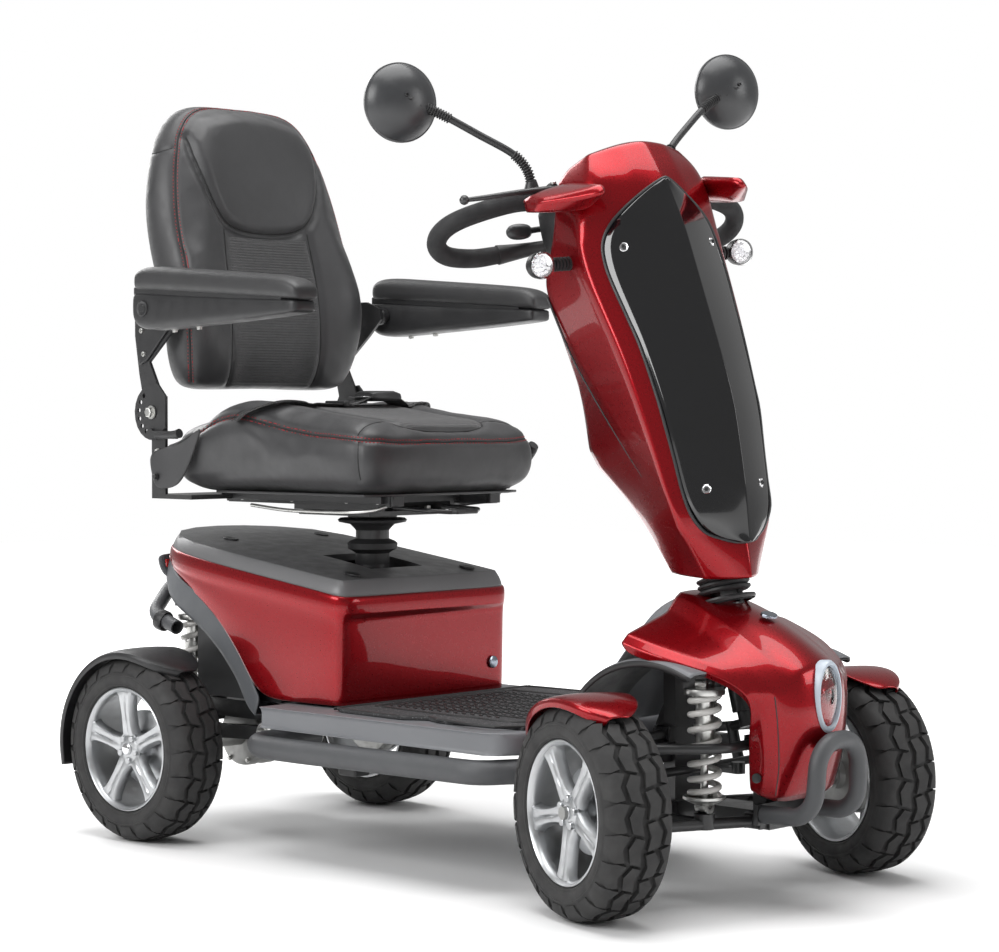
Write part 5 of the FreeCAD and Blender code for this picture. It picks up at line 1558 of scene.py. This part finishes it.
def mirrors():
    """Convex heads with a rim, a hinge recess and glass, on bent stems with ribbed ends."""
    for name, side in SIDES:
        body = "mirror_" + name
        def place(x, y, z):
            return Vector((x, side * y, z))
        stem = smooth_path([place(*p) for p in ((228, 128, 1140), (227, 134, 1168), (218, 154, 1196),
                                                (196, 202, 1230), (178, 250, 1262), (170, 284, 1280),
                                                (168, 300, 1288))], 10)
        on_tiller("mirror_stem_" + name, tube(stem, 6.2, 18), BLACK_PLASTIC, "mirror_shell", [body],
                  body=body)
        length = sum((b - a).length for a, b in zip(stem, stem[1:]))
        for k, (start, end) in enumerate(((6, 62), (length - 62, length - 16))):
            ring = lathe([(5.8, -2.1), (8.4, -1.0), (8.9, 0), (8.4, 1.0), (5.8, 2.1)], 20)
            rings = [pointed(ring, at, way) for at, way in beads(stem, start, end, 4.6)]
            on_tiller("mirror_gaiter_%s_%d" % (name, k), joined(*rings), RUBBER, "mirror_shell",
                      body=body)
        foot = lathe([(0, -4), (14, -4), (15, 2), (13, 14), (10, 24), (8, 30), (0, 30)], 28)
        on_tiller("mirror_foot_" + name, shifted(foot, 228, side * 128, 1122), BLACK_PLASTIC,
                  "mirror_shell", body=body)
        bracket = tube([place(232, 84, 1112), place(230, 100, 1114), place(228, 128, 1118)], 9, 16)
        on_tiller("mirror_bracket_" + name, bracket, BLACK_PLASTIC, "mirror_shell")
        dome = lathe([(0, 34), (16, 33), (34, 27.5), (50, 18), (60, 8), (63.5, 1), (64, -2), (62.5, -4),
                      (61, -3.6)], 64)
        on_tiller("mirror_back_" + name, pointed(dome, place(150, 318, 1290), (1, 0, 0)), MIRROR_BACK,
                  "mirror_shell", body=body)
        band = lathe([(61.5, -4.6), (65, -3.6), (65.2, 1.0), (62.0, 2.4)], 64)
        on_tiller("mirror_rim_" + name, pointed(band, place(150, 318, 1290), (1, 0, 0)), plastic(
            "mirror_rim_" + name, (0.055, 0.056, 0.058), 0.28, 0.03, 900.0, 0.1), "mirror_shell", body=body)
        glass = lathe([(61.6, -3.4), (40, -1.8), (20, -0.9), (0, -0.6)], 64)
        on_tiller("mirror_face_" + name, pointed(glass, place(150, 318, 1290), (1, 0, 0)), MIRROR_GLASS,
                  "mirror_shell", body=body)
        wedge = capped([[(182, side * 300, 1299), (184.5, side * 317, 1293), (181, side * 296, 1280)],
                        [(174, side * 288, 1304), (186, side * 322, 1294), (171, side * 283, 1274)]])
        on_tiller("mirror_hinge_recess_" + name, wedge, BLACK_PLASTIC, "mirror_shell", body=body,
                  bevel=2.0)
        knuckle = lathe([(0, -9), (7, -8), (9, -3), (9, 3), (7, 8), (0, 9)], 24)
        on_tiller("mirror_ball_joint_" + name, pointed(knuckle, place(172, 302, 1288), (0, 1, 0.3)),
                  BLACK_PLASTIC, "mirror_shell", body=body)
        on_tiller("mirror_screw_" + name, socket_screw(place(183, 322, 1300), (0.96, side * 0.12, 0.2),
                                                       3.4), BLACK_PLASTIC, "mirror_shell", body=body)


def bellows():
    """Three soft folds of rubber round the foot of the tiller."""
    folds = [(29, -3), (36, -4)]
    for k in range(3):
        z = 9.2 * k
        folds += [(39.5, z - 2.2), (42, z + 0.5), (41.5, z + 3.4), (36.5, z + 4.9)]
    folds += [(31, 24), (29, 22)]
    place = COLUMN + COLUMN_AXIS * 1.0
    sleeve = piece("bellows_folds", pointed(lathe(folds, 56), place, COLUMN_AXIS), RUBBER, "column",
                   "bellows_rubber", ["tiller_bellows"])
    return sleeve


tiller_shell()
tiller_panel()
tiller_wings()
indicators()
grips()
console()
levers()
mirrors()
bellows()


# ---- seat ----
SEAT_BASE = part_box("seat_cushion")[0][2] / MM


def seat_form():
    """Rings from the rear to the front of the seat cushion, a little under size."""
    low = SEAT_BASE + 4
    stations = ((-565, 214, 724, 722, 6), (-557, 227, 733, 731, 0), (-500, 230, 741, 738, 0),
                (-452, 230, 766, 758, 0), (-410, 229, 776, 767, 0), (-360, 229, 777, 769, 0),
                (-280, 229, 764, 759, 0), (-210, 229, 753, 748, 0), (-140, 228, 746, 742, 0),
                (-84, 226, 739, 737, 0), (-56, 215, 726, 728, 5), (-45, 198, 704, 706, 14))
    rings = []
    for x, w, side_top, mid_top, lift in stations:
        base = low + lift
        rings.append(half_ring([(x, 0, base), (x, w * 0.8, base), (x, w * 0.95, base + 8),
                                (x, w, base + 38), (x, w, side_top - 42), (x, w * 0.96, side_top - 14),
                                (x, w * 0.88, side_top), (x, w * 0.66, side_top - 2),
                                (x, w * 0.48, mid_top), (x, 0, mid_top - 2)]))
    return capped(rings)


def back_form():
    """Rings from the foot to the head of the backrest cushion, a little under size."""
    stations = ((794, 182, -530, -538, -590), (806, 204, -520, -534, -600), (850, 222, -506, -530, -608),
                (910, 229, -498, -532, -610), (965, 230, -500, -538, -611), (1010, 230, -510, -546, -640),
                (1090, 228, -534, -560, -657), (1150, 222, -552, -567, -667),
                (1220, 207, -572, -579, -673), (1280, 184, -592, -591, -677),
                (1320, 152, -608, -604, -675), (1340, 106, -622, -620, -664))
    rings = []
    for z, w, bolster, mid, rear in stations:
        depth = bolster - rear
        rings.append(half_ring([(mid, 0, z), (mid, w * 0.36, z),
                                (mid + (bolster - mid) * 0.4, w * 0.52, z), (bolster, w * 0.78, z),
                                (bolster - depth * 0.10, w * 0.93, z), (bolster - depth * 0.32, w, z),
                                (rear + depth * 0.28, w, z), (rear + depth * 0.08, w * 0.93, z),
                                (rear, w * 0.7, z), (rear, 0, z)]))
    return capped(rings)


CLOTH_FRAMES = 20


def stuffed(name, form, voxel, limit, finish, body, stands_for, channels=(), raised=()):
    """Foam under leather: remeshed, blown up as cloth within a limit, then sewn channels pressed in."""
    obj = piece(name, form, finish, body, "seat_leather", stands_for)
    smooth = obj.modifiers.new("round", "SUBSURF")
    smooth.levels = 2
    remesh = obj.modifiers.new("even", "REMESH")
    remesh.mode = "VOXEL"
    remesh.voxel_size = voxel * MM
    remesh.use_smooth_shade = True
    baked(obj)
    rest = [v.co.copy() for v in obj.data.vertices]
    scene = bpy.context.scene
    cloth = obj.modifiers.new("cover", "CLOTH")
    cloth.settings.quality = 5
    cloth.settings.mass = 0.3
    cloth.settings.tension_stiffness = cloth.settings.compression_stiffness = 25
    cloth.settings.bending_stiffness = 6.0
    cloth.settings.use_pressure = True
    cloth.settings.uniform_pressure_force = 4.0
    cloth.settings.effector_weights.gravity = 0.0
    cloth.point_cache.frame_start, cloth.point_cache.frame_end = 1, CLOTH_FRAMES
    for step in range(1, CLOTH_FRAMES + 1):
        scene.frame_set(step)
    baked(obj)
    scene.frame_set(1)
    for vertex, start in zip(obj.data.vertices, rest):
        shift = vertex.co - start
        if shift.length > limit * MM:
            vertex.co = start + shift.normalized() * limit * MM
    swell = obj.modifiers.new("full", "SMOOTH")
    swell.factor, swell.iterations = 0.5, 40
    baked(obj)
    skin = skin_of(obj)
    settled = [settle(skin, line) for line, _, _ in channels]
    for line, (_, depth, reach) in zip(settled, channels):
        press(obj, line, depth, reach)
    for outline, height in raised:
        lift_inside(obj, outline, height)
    fine = obj.modifiers.new("fine", "SUBSURF")
    fine.levels = fine.render_levels = 1
    return obj, settled


def baked(obj):
    """Applies the object's modifiers to its mesh."""
    graph = bpy.context.evaluated_depsgraph_get()
    result = bpy.data.meshes.new_from_object(obj.evaluated_get(graph))
    obj.modifiers.clear()
    obj.data = result
    for polygon in result.polygons:
        polygon.use_smooth = True


def press(obj, line, depth, reach):
    """Pulls the skin inwards along a seam."""
    tree = kdtree.KDTree(len(line))
    for k, point in enumerate(line):
        tree.insert(point * MM, k)
    tree.balance()
    normals = [v.normal.copy() for v in obj.data.vertices]
    for vertex, normal in zip(obj.data.vertices, normals):
        _, _, gap = tree.find(vertex.co)
        gap /= MM
        if gap < reach:
            share = 1 - gap / reach
            vertex.co -= normal * depth * MM * share * share
    obj.data.update()


def lift_inside(obj, outline, height):
    """Raises the front skin inside an outline in the YZ plane, as a panel with thicker foam."""
    count = len(outline)
    for vertex in obj.data.vertices:
        if vertex.normal.x < 0.3:
            continue
        y, z = vertex.co.y / MM, vertex.co.z / MM
        inside, near = False, 1e9
        for i in range(count):
            y0, z0 = outline[i]
            y1, z1 = outline[(i + 1) % count]
            if (z0 > z) != (z1 > z) and y < (y1 - y0) * (z - z0) / (z1 - z0) + y0:
                inside = not inside
            along = Vector((y1 - y0, z1 - z0))
            t = max(0.0,
                    min(1.0, (Vector((y - y0, z - z0)).dot(along)) / max(along.length_squared, 1e-6)))
            near = min(near, (Vector((y, z)) - Vector((y0, z0)) - along * t).length)
        if inside:
            vertex.co.x += height * MM * min(1.0, near / 16) ** 0.7
    obj.data.update()


def skin_of(obj):
    """A search tree over the finished surface of an object."""
    graph = bpy.context.evaluated_depsgraph_get()
    return bvhtree.BVHTree.FromObject(obj, graph)


def laid_on(tree, points, lift=0.0):
    """The points moved onto a surface, a little above it."""
    out = []
    for point in points:
        at, normal, _, _ = tree.find_nearest(Vector(point) * MM)
        out.append(at / MM + normal * lift)
    return out


def evened(line, passes):
    """A line with its small jumps smoothed out, its ends kept."""
    for _ in range(passes):
        line = [line[0]] + [(a + b * 2 + c) / 4 for a, b, c in zip(line, line[1:], line[2:])] + [line[-1]]
    return line


def settle(tree, points, spacing=2.0):
    """A route in small even steps, drawn taut over a surface."""
    route = []
    for a, b in zip(points, points[1:]):
        steps = max(2, int((b - a).length / spacing))
        route += [a.lerp(b, k / steps) for k in range(steps)]
    route.append(points[-1])
    return laid_on(tree, evened(laid_on(tree, route), 200))


def seam(name, tree, points, body, gap=2.2, thread=None, piping=1.5):
    """A sewn seam on a surface: a fine piped edge with a row of stitches on each side."""
    line = evened(laid_on(tree, points, 0.1), 40)
    piece(name + "_piping", tube(line, piping, 6), STITCH_BLACK, body, "seat_leather")
    if thread is None:
        return
    for k, offset in enumerate((-1, 1)):
        beside = []
        for i, point in enumerate(line):
            way = (line[min(i + 1, len(line) - 1)] - line[max(i - 1, 0)]).normalized()
            _, normal, _, _ = tree.find_nearest(point * MM)
            beside.append(point + way.cross(normal) * offset * (gap + 2.0))
        stitches = dashes(laid_on(tree, beside, 0.45), 4.6, 2.0, 0.75)
        piece("%s_stitches_%d" % (name, k), stitches, thread, body, "seat_leather")


def patch(name, tree, reach, body, way, pitch=5.0):
    """A ribbed insert that lies on the surface, found by looking along a direction."""
    low, high, half_width, bulge = reach
    rows = []
    count = int((high - low) / (pitch / 4))
    across = 44
    look = Vector(way)
    for i in range(count + 1):
        level = low + (high - low) * i / count
        half = half_width + bulge * math.sin(math.pi * i / count)
        row = []
        for j in range(across + 1):
            y = half * (2 * j / across - 1)
            start = Vector((0, y, level)) if abs(look.x) > 0.5 else Vector((level, y, 1000))
            if abs(look.x) > 0.5:
                start.x = -400
            hit = tree.ray_cast(start * MM, look)
            edge = min(j, across - j, i, count - i)
            rib = 0.55 * math.sin(2 * math.pi * level / pitch) * min(1, edge / 3)
            point = hit[0] / MM + hit[1] * (0.7 + rib - (1.6 if edge == 0 else 0.0))
            row.append(tuple(point))
        rows.append(row)
    return piece(name, grid(rows), RIBBED, body, "seat_leather", sharp=80)


def seat_cushion():
    """Seat cushion with its seams, ribbed panel, side flaps and studs."""
    side_line = [(-540, 226, 722), (-500, 230, 731), (-450, 232, 752), (-400, 234, 763), (-350, 234, 762),
                 (-300, 234, 754), (-250, 234, 744), (-200, 233, 737), (-120, 232, 732), (-82, 226, 729),
                 (-58, 208, 725), (-46, 172, 722), (-42, 110, 721), (-42, 0, 721)]
    loop = smooth_path(carried_over(side_line), 10)
    inner = [(-480, 120, 760), (-440, 122, 768), (-380, 124, 770), (-250, 122, 756), (-130, 118, 746),
             (-84, 108, 742), (-70, 60, 741), (-68, 0, 741)]
    inner_loop = smooth_path(carried_over(inner), 10)
    uprights = [smooth_path([(-76, side * 226, z) for z in (630, 660, 700, 727)], 10)
                for _, side in SIDES]
    over = [smooth_path([(-84, side * 220, 735), (-92, side * 190, 742), (-100, side * 150, 744),
                         (-110, side * 118, 744)], 10) for _, side in SIDES]
    channels = [(loop, 5.0, 13.0),
                (inner_loop, 6.0, 16.0)] + [(line, 3.0, 9.0) for line in uprights + over]
    cushion, lines = stuffed("seat_cushion_leather", seat_form(), 6, 9, LEATHER, "seat", ["seat_cushion"],
                             channels)
    tree = skin_of(cushion)
    seam("seat_edge", tree, lines[0], "seat", thread=STITCH_RED)
    seam("seat_panel", tree, lines[1], "seat", piping=1.1)
    for (name, side), line, top in zip(SIDES, lines[2:4], lines[4:6]):
        seam("seat_side_join_" + name, tree, line, "seat", piping=1.0)
        seam("seat_top_join_" + name, tree, top, "seat", piping=1.0)
    patch("seat_ribbed_panel", tree, (-462, -84, 100, 8), "seat", (0, 0, -1))
    for name, side in SIDES:
        flap = [[(-500, 247, 704), (-476, 241, 722), (-456, 234, 738)],
                [(-540, 250, 698), (-505, 246, 700), (-470, 235, 708)],
                [(-582, 252, 690), (-535, 249, 678), (-486, 235, 676)],
                [(-578, 252, 660), (-545, 249, 650), (-504, 236, 648)],
                [(-566, 252, 628), (-552, 249, 624), (-524, 238, 626)]]
        lines = [([(x, side * y, z) for x, y, z in (row[2] for row in flap)], 0.6)]
        skin = piece("seat_side_flap_" + name, sided(grid(flap), side), LEATHER, "seat", "seat_leather",
                     levels=3, wall=3.5, creases=lines)
        stud = bolt((-562, side * 252.5, 646), (0, side, 0), 5)
        piece("seat_side_stud_" + name, stud, BLACK_STEEL, "seat", "black_steel")


def back_cushion():
    """Backrest with bolsters, a raised headrest panel, seams and a ribbed panel."""
    edge = [(-536, 196, 800), (-518, 212, 850), (-512, 220, 930), (-518, 221, 1010), (-542, 218, 1095),
            (-562, 206, 1180), (-586, 182, 1262), (-604, 146, 1314), (-616, 92, 1338), (-622, 0, 1345)]
    hood = [(-596, -152, 1262), (-582, -150, 1228), (-568, -138, 1170), (-562, -122, 1128),
            (-560, -96, 1100), (-560, -50, 1089), (-560, 0, 1087), (-560, 50, 1089), (-560, 96, 1100),
            (-562, 122, 1128), (-568, 138, 1170), (-582, 150, 1228), (-596, 152, 1262)]
    left = smooth_path([(-548, 102, 1096), (-545, 112, 1020), (-540, 116, 930), (-536, 112, 850),
                        (-536, 104, 806)], 10)
    right = [Vector((p.x, -p.y, p.z)) for p in left]
    loops = [smooth_path([(x, side * y, z) for x, y, z in edge], 10) for _, side in SIDES]
    hood_line = smooth_path(hood, 10)
    side_join = [smooth_path([(-598, side * 186, 1246), (-624, side * 200, 1238),
                              (-650, side * 196, 1236), (-668, side * 180, 1236)], 10)
                 for _, side in SIDES]
    rear_rim = [(-596, 180, 806), (-612, 204, 860), (-616, 210, 930), (-640, 210, 1010),
                (-656, 206, 1100), (-666, 188, 1210), (-672, 160, 1280), (-668, 110, 1322),
                (-662, 0, 1336)]
    rear = smooth_path(carried_over(rear_rim), 10)
    channels = [(line, 4.0, 12.0) for line in loops] + [(hood_line, 10.0, 20.0), (left, 5.0, 14.0),
                                                        (right, 5.0, 14.0), (rear, 3.5, 10.0)]
    channels += [(line, 2.5, 8.0) for line in side_join]
    outline = [(y, z) for _, y, z in hood] + [(120, 1300), (0, 1322), (-120, 1300)]
    cushion, lines = stuffed("backrest_leather", back_form(), 6, 9, LEATHER, "backrest", ["back_cushion"],
                             channels, [(outline, 9.0)])
    tree = skin_of(cushion)
    for (name, side), line in zip(SIDES, lines[:2]):
        seam("back_edge_" + name, tree, line, "backrest", thread=STITCH_RED)
    for name, line, width in zip(("headrest_seam", "back_panel_left", "back_panel_right",
                                  "back_rear_seam"), lines[2:6], (1.4, 1.1, 1.1, 1.6)):
        seam(name, tree, line, "backrest", piping=width)
    for (name, side), line in zip(SIDES, lines[6:]):
        seam("back_side_join_" + name, tree, line, "backrest", piping=1.0)
    patch("back_ribbed_panel", tree, (812, 1083, 99, 12), "backrest", (-1, 0, 0))


def rounded_ring(x, z0, z1, half, side, corner=0.45):
    """A rounded rectangle across the armrest at one station."""
    mid, r = (z0 + z1) / 2, min((z1 - z0) / 2, half)
    c = r * corner
    points = [(half - c, z0), (half, z0 + c), (half, mid), (half, z1 - c), (half - c, z1), (0, z1 + 0.8),
              (-half + c, z1), (-half, z1 - c), (-half, mid), (-half, z0 + c), (-half + c, z0), (0, z0)]
    return [(x, side * (292 + y), z) for y, z in points]


def armrests():
    """Soft pad over a wedge-shaped moulding, parted by a groove, with a pivot cap and fixings."""
    for name, side in SIDES:
        body = "armrest_" + name
        pad = ((-540, 980, 1000, 24), (-537, 976, 1010, 30), (-526, 974, 1016, 33), (-500, 972, 1019, 33),
               (-420, 968, 1012, 33), (-300, 960, 1003, 33), (-196, 953, 994, 32.5), (-160, 950, 990, 32),
               (-136, 949, 985, 31), (-122, 949, 975, 28), (-116, 951, 968, 22))
        cushion = piece("armrest_pad_" + name,
                        capped([rounded_ring(x, a, b, h, side) for x, a, b, h in pad]), SOFT_PAD, body,
                        "arm_pad", [body], levels=2)
        wedge = ((-545, 930, 972, 25), (-543, 920, 975, 27.5), (-533, 909, 976, 28.5),
                 (-500, 904, 974, 28.5), (-400, 910, 967, 28.5), (-250, 918, 958, 28.5),
                 (-156, 925, 951.5, 28), (-130, 927, 949.5, 27), (-120, 930, 948, 23))
        piece("armrest_base_" + name,
              capped([rounded_ring(x, a, b, h, side, 0.28) for x, a, b, h in wedge]), BLACK_PLASTIC, body,
              "arm_pad", levels=2)
        lip = [(x, b - 6, b + 8, h - 3) for x, _, b, h in wedge[:-2]]
        groove = capped([rounded_ring(x, a, b, h, side, 0.3) for x, a, b, h in lip])
        piece("armrest_gap_" + name, groove, BLACK_PLASTIC, body, "arm_pad")
        cap = lathe([(0, 3.6), (6, 3.6), (7, 2.4), (11, 2.4), (12.5, 3.4), (14, 3.0), (15, 0), (15, -3)],
                    40)
        piece("armrest_pivot_cap_" + name, pointed(cap, (-514, side * 320, 944), (0, side, 0)),
              BLACK_PLASTIC, body, "arm_pad")
        hub = pointed(lathe([(0, -8), (15, -8), (16, -6), (16, 6), (15, 8), (0, 8)], 32),
                      (-505, side * 255, 944), (0, 1, 0))
        piece("armrest_hinge_boss_" + name, hub, BLACK_STEEL, body, "black_steel")
        stop = joined(bolt((-460, side * 292, 907.5), (0, 0, -1), 5),
                      bolt((-394, side * 292, 911), (0, 0, -1), 5))
        piece("armrest_adjusters_" + name, stop, ZINC, body, "arm_pad")


def recliners():
    """Punched sector plates, covers and bolts at the backrest hinge."""
    hinge = pivot("backrest_recline")
    for name, side in SIDES:
        arc = [(hinge.x + 50 * math.cos(math.radians(a)), hinge.z + 50 * math.sin(math.radians(a)))
               for a in range(110, 281, 17)]
        outline = arc + [(hinge.x + 12, hinge.z - 46), (hinge.x + 36, hinge.z - 26),
                         (hinge.x + 36, hinge.z + 30), (hinge.x + 14, hinge.z + 52)]
        plate_mesh = sided(plate(outline, 4, "y", 246.6), side)
        sector = piece("recline_sector_" + name, plate_mesh, BLACK_STEEL, "seat", "black_steel")
        holes = []
        for k in range(7):
            a = math.radians(128 + 23 * k)
            at = (hinge.x + 38 * math.cos(a), side * 248, hinge.z + 38 * math.sin(a))
            holes.append(pointed(lathe([(0, -9), (4.4, -9), (4.4, 9), (0, 9)], 16), at, (0, 1, 0)))
        carved(sector, *holes)
        fasteners = joined(bolt((hinge.x, side * 252, hinge.z), (0, side, 0), 9),
                           bolt((-572, side * 242, 770), (0, side, 0), 5),
                           bolt((-571, side * 240, 640), (0, side, 0), 6),
                           bolt((-571, side * 240, 690), (0, side, 0), 5))
        piece("recline_bolts_" + name, fasteners, ZINC, "seat", "black_steel")
        cover = capped([[(x, side * y, z) for x, z in ((-610, 846), (-588, 856), (-532, 908), (-528, 966),
                                                       (-622, 966), (-622, 900))] for y in (246, 251)])
        piece("backrest_bracket_cover_" + name, cover, BLACK_PLASTIC, "backrest", "black_steel",
              bevel=2.0)
        screws = joined(socket_screw((-596, side * 251, 866), (0, side, 0), 4.5),
                        socket_screw((-602, side * 251, 908), (0, side, 0), 4.5))
        piece("backrest_bracket_screws_" + name, screws, ZINC, "backrest", "black_steel")
    knob = ((-560, -254.5, 721), (-530, -254.5, 721), (-506, -254.5, 722), (-494, -254.5, 724))
    piece("recline_handle_sleeve", tube(smooth_path(knob, 6), lambda t: 5.0 + 3.5 * t, 16), RUBBER,
          "recline_lever", "black_steel")


def lap_belt():
    """Woven straps laid over the cushion into a push-button buckle."""
    section = [(-23, -0.7), (23, -0.7), (23, 0.7), (-23, 0.7)]
    x = -313
    long_side = [(x - 62, -226, 748), (x - 30, -214, 773), (x - 8, -180, 781), (x, -120, 779.5),
                 (x, -60, 776), (x, 0, 779), (x, 30, 787)]
    short_side = [(x, 92, 789), (x - 2, 116, 784), (x - 10, 150, 780), (x - 24, 186, 781),
                  (x - 44, 214, 774), (x - 66, 228, 748)]
    skin = skin_of(bpy.data.objects["seat_cushion_leather"])
    for name, route, stands in (("long", long_side, ["lap_belt"]), ("short", short_side, [])):
        path = smooth_path([Vector(p) for p in route], 10)
        lying = laid_on(skin, path, 1.4)
        path = [low if abs(free.y - 50) > 72 else low.lerp(free, min(1, (72 - abs(free.y - 50)) / 34))
                for low, free in zip(lying, path)]
        piece("belt_webbing_" + name, ribbon(path, section, up=(0, 0, 1)), WEBBING, "seat",
              "belt_webbing", stands)
        edge = joined(*[tube([p + Vector((o, 0, 1.0)) for p in path], 0.5, 5) for o in (-21, 21)])
        piece("belt_edge_" + name, edge, STITCH_BLACK, "seat", "belt_webbing")
    shell = [[(x + a * 1.0, y, z) for a, z in ((-27, 781), (-30, 787), (-27, 797), (-16, 800), (16, 800),
                                               (27, 797), (30, 787), (27, 781))]
             for y in (24, 32, 84, 96)]
    for row in (shell[0], shell[-1]):
        for i, (px, py, pz) in enumerate(row):
            row[i] = (x + (px - x) * 0.86, py, 789 + (pz - 789) * 0.72)
    buckle = piece("buckle_shell", capped(shell), BLACK_PLASTIC, "seat", "belt_webbing", bevel=1.5)
    low, high = (Vector(c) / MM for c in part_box("buckle_button"))
    carved(buckle, block(low.x - 0.8, high.x + 0.8, low.y - 0.8, high.y + 0.8, low.z - 2, 812))
    repaint(BUTTON_RED, "buckle_button")
    tongue = block(x - 20, x + 20, 6, 28, 788, 790.4)
    piece("buckle_tongue", tongue, CHROME, "seat", "belt_webbing", bevel=0.8)
    keeper = block(x - 27, x + 27, -46, -34, 771, 782)
    piece("belt_keeper", keeper, BLACK_PLASTIC, "seat", "belt_webbing", bevel=2.2)


def seat_base():
    """Pan, rail ends, wire stay, release bar, silver bolts, and the rubber boot on the post."""
    post = pivot("seat_turn")
    pan = capped([[(x, y, z) for x, y in ((-470, -190), (-90, -190), (-74, -150), (-74, 150), (-90, 190),
                                          (-470, 190))] for z in (618, 622.4)])
    piece("seat_pan", pan, BLACK_STEEL, "seat", "black_steel", bevel=1.0)
    for name, side in SIDES:
        caps = joined(block(-84, -76, side * 120 - 13, side * 120 + 13, 601, 621),
                      block(-508, -500, side * 120 - 13, side * 120 + 13, 601, 621))
        piece("rail_end_caps_" + name, caps, BLACK_PLASTIC, "seat", "black_steel", bevel=1.5)
        bolts = joined(*[bolt((px, side * 134.5, 611), (0, side, 0), 5.5)
                         for px in (-462, -330, -190, -112)])
        piece("rail_bolts_" + name, bolts, ZINC, "seat", "black_steel")
        heads = joined(*[bolt((post.x + dx, side * 70, 588), (0, 0, 1), 6) for dx in (-70, 70)])
        piece("top_plate_bolts_" + name, heads, ZINC, "seat_swivel", "black_steel")
        strip = block(-482, -96, side * 141, side * 143, 605, 617)
        piece("rail_side_strip_" + name,
              joined(strip, block(-482, -470, side * 133, side * 142, 605, 617),
                     block(-108, -96, side * 133, side * 142, 605, 617)), BLACK_STEEL, "seat",
              "black_steel", bevel=0.6)
    wire = ((-420, -150, 596), (-300, -168, 590), (-160, -170, 590), (-110, -150, 594), (-92, -128, 602))
    piece("seat_wire_stay", tube(smooth_path(wire, 8), 3.2, 12), ZINC, "seat", "black_steel")
    paddle = capped([[(-46, y, 588 + h) for y, h in ((-34, 0), (34, 0), (34, 7), (-34, 7))],
                     [(-28, y, 586 + h) for y, h in ((-26, 0), (26, 0), (26, 6), (-26, 6))]])
    piece("slide_lever_paddle", paddle, BLACK_PLASTIC, "slide_lever", "black_steel", bevel=2.2)
    boot = [(26, -78), (31, -70), (30, -52), (36, -48), (44, -44), (45, -34), (40, -30), (30, -26),
            (29, -12), (34, -6), (40, 0), (60, 4), (62, 8), (58, 11), (26, 11)]
    piece("post_boot", shifted(lathe(boot, 56), post.x, 0, 562), RUBBER, "seat_swivel", "black_steel")
    flange = [(26, 0), (72, 0), (73, 3), (70, 7), (52, 10), (44, 22), (33, 26), (26, 26)]
    piece("post_flange", shifted(lathe(flange, 56), post.x, 0, 449.5), BLACK_PLASTIC, "root",
          "black_steel")
    grip = ((-176, 245, 624), (-150, 245, 650), (-128, 245, 672), (-108, 245, 692), (-98, 245, 702))
    piece("swivel_lever_grip", tube(smooth_path(grip, 8),
                                    lambda t: 8.0 + 5.0 * math.sin(math.pi * min(1, t * 0.9)), 20),
          RUBBER, "swivel_lever", "black_steel")
    repaint(BLACK_STEEL, "swivel_lever", "slide_lever", "recline_lever")


seat_cushion()
back_cushion()
armrests()
recliners()
lap_belt()
seat_base()
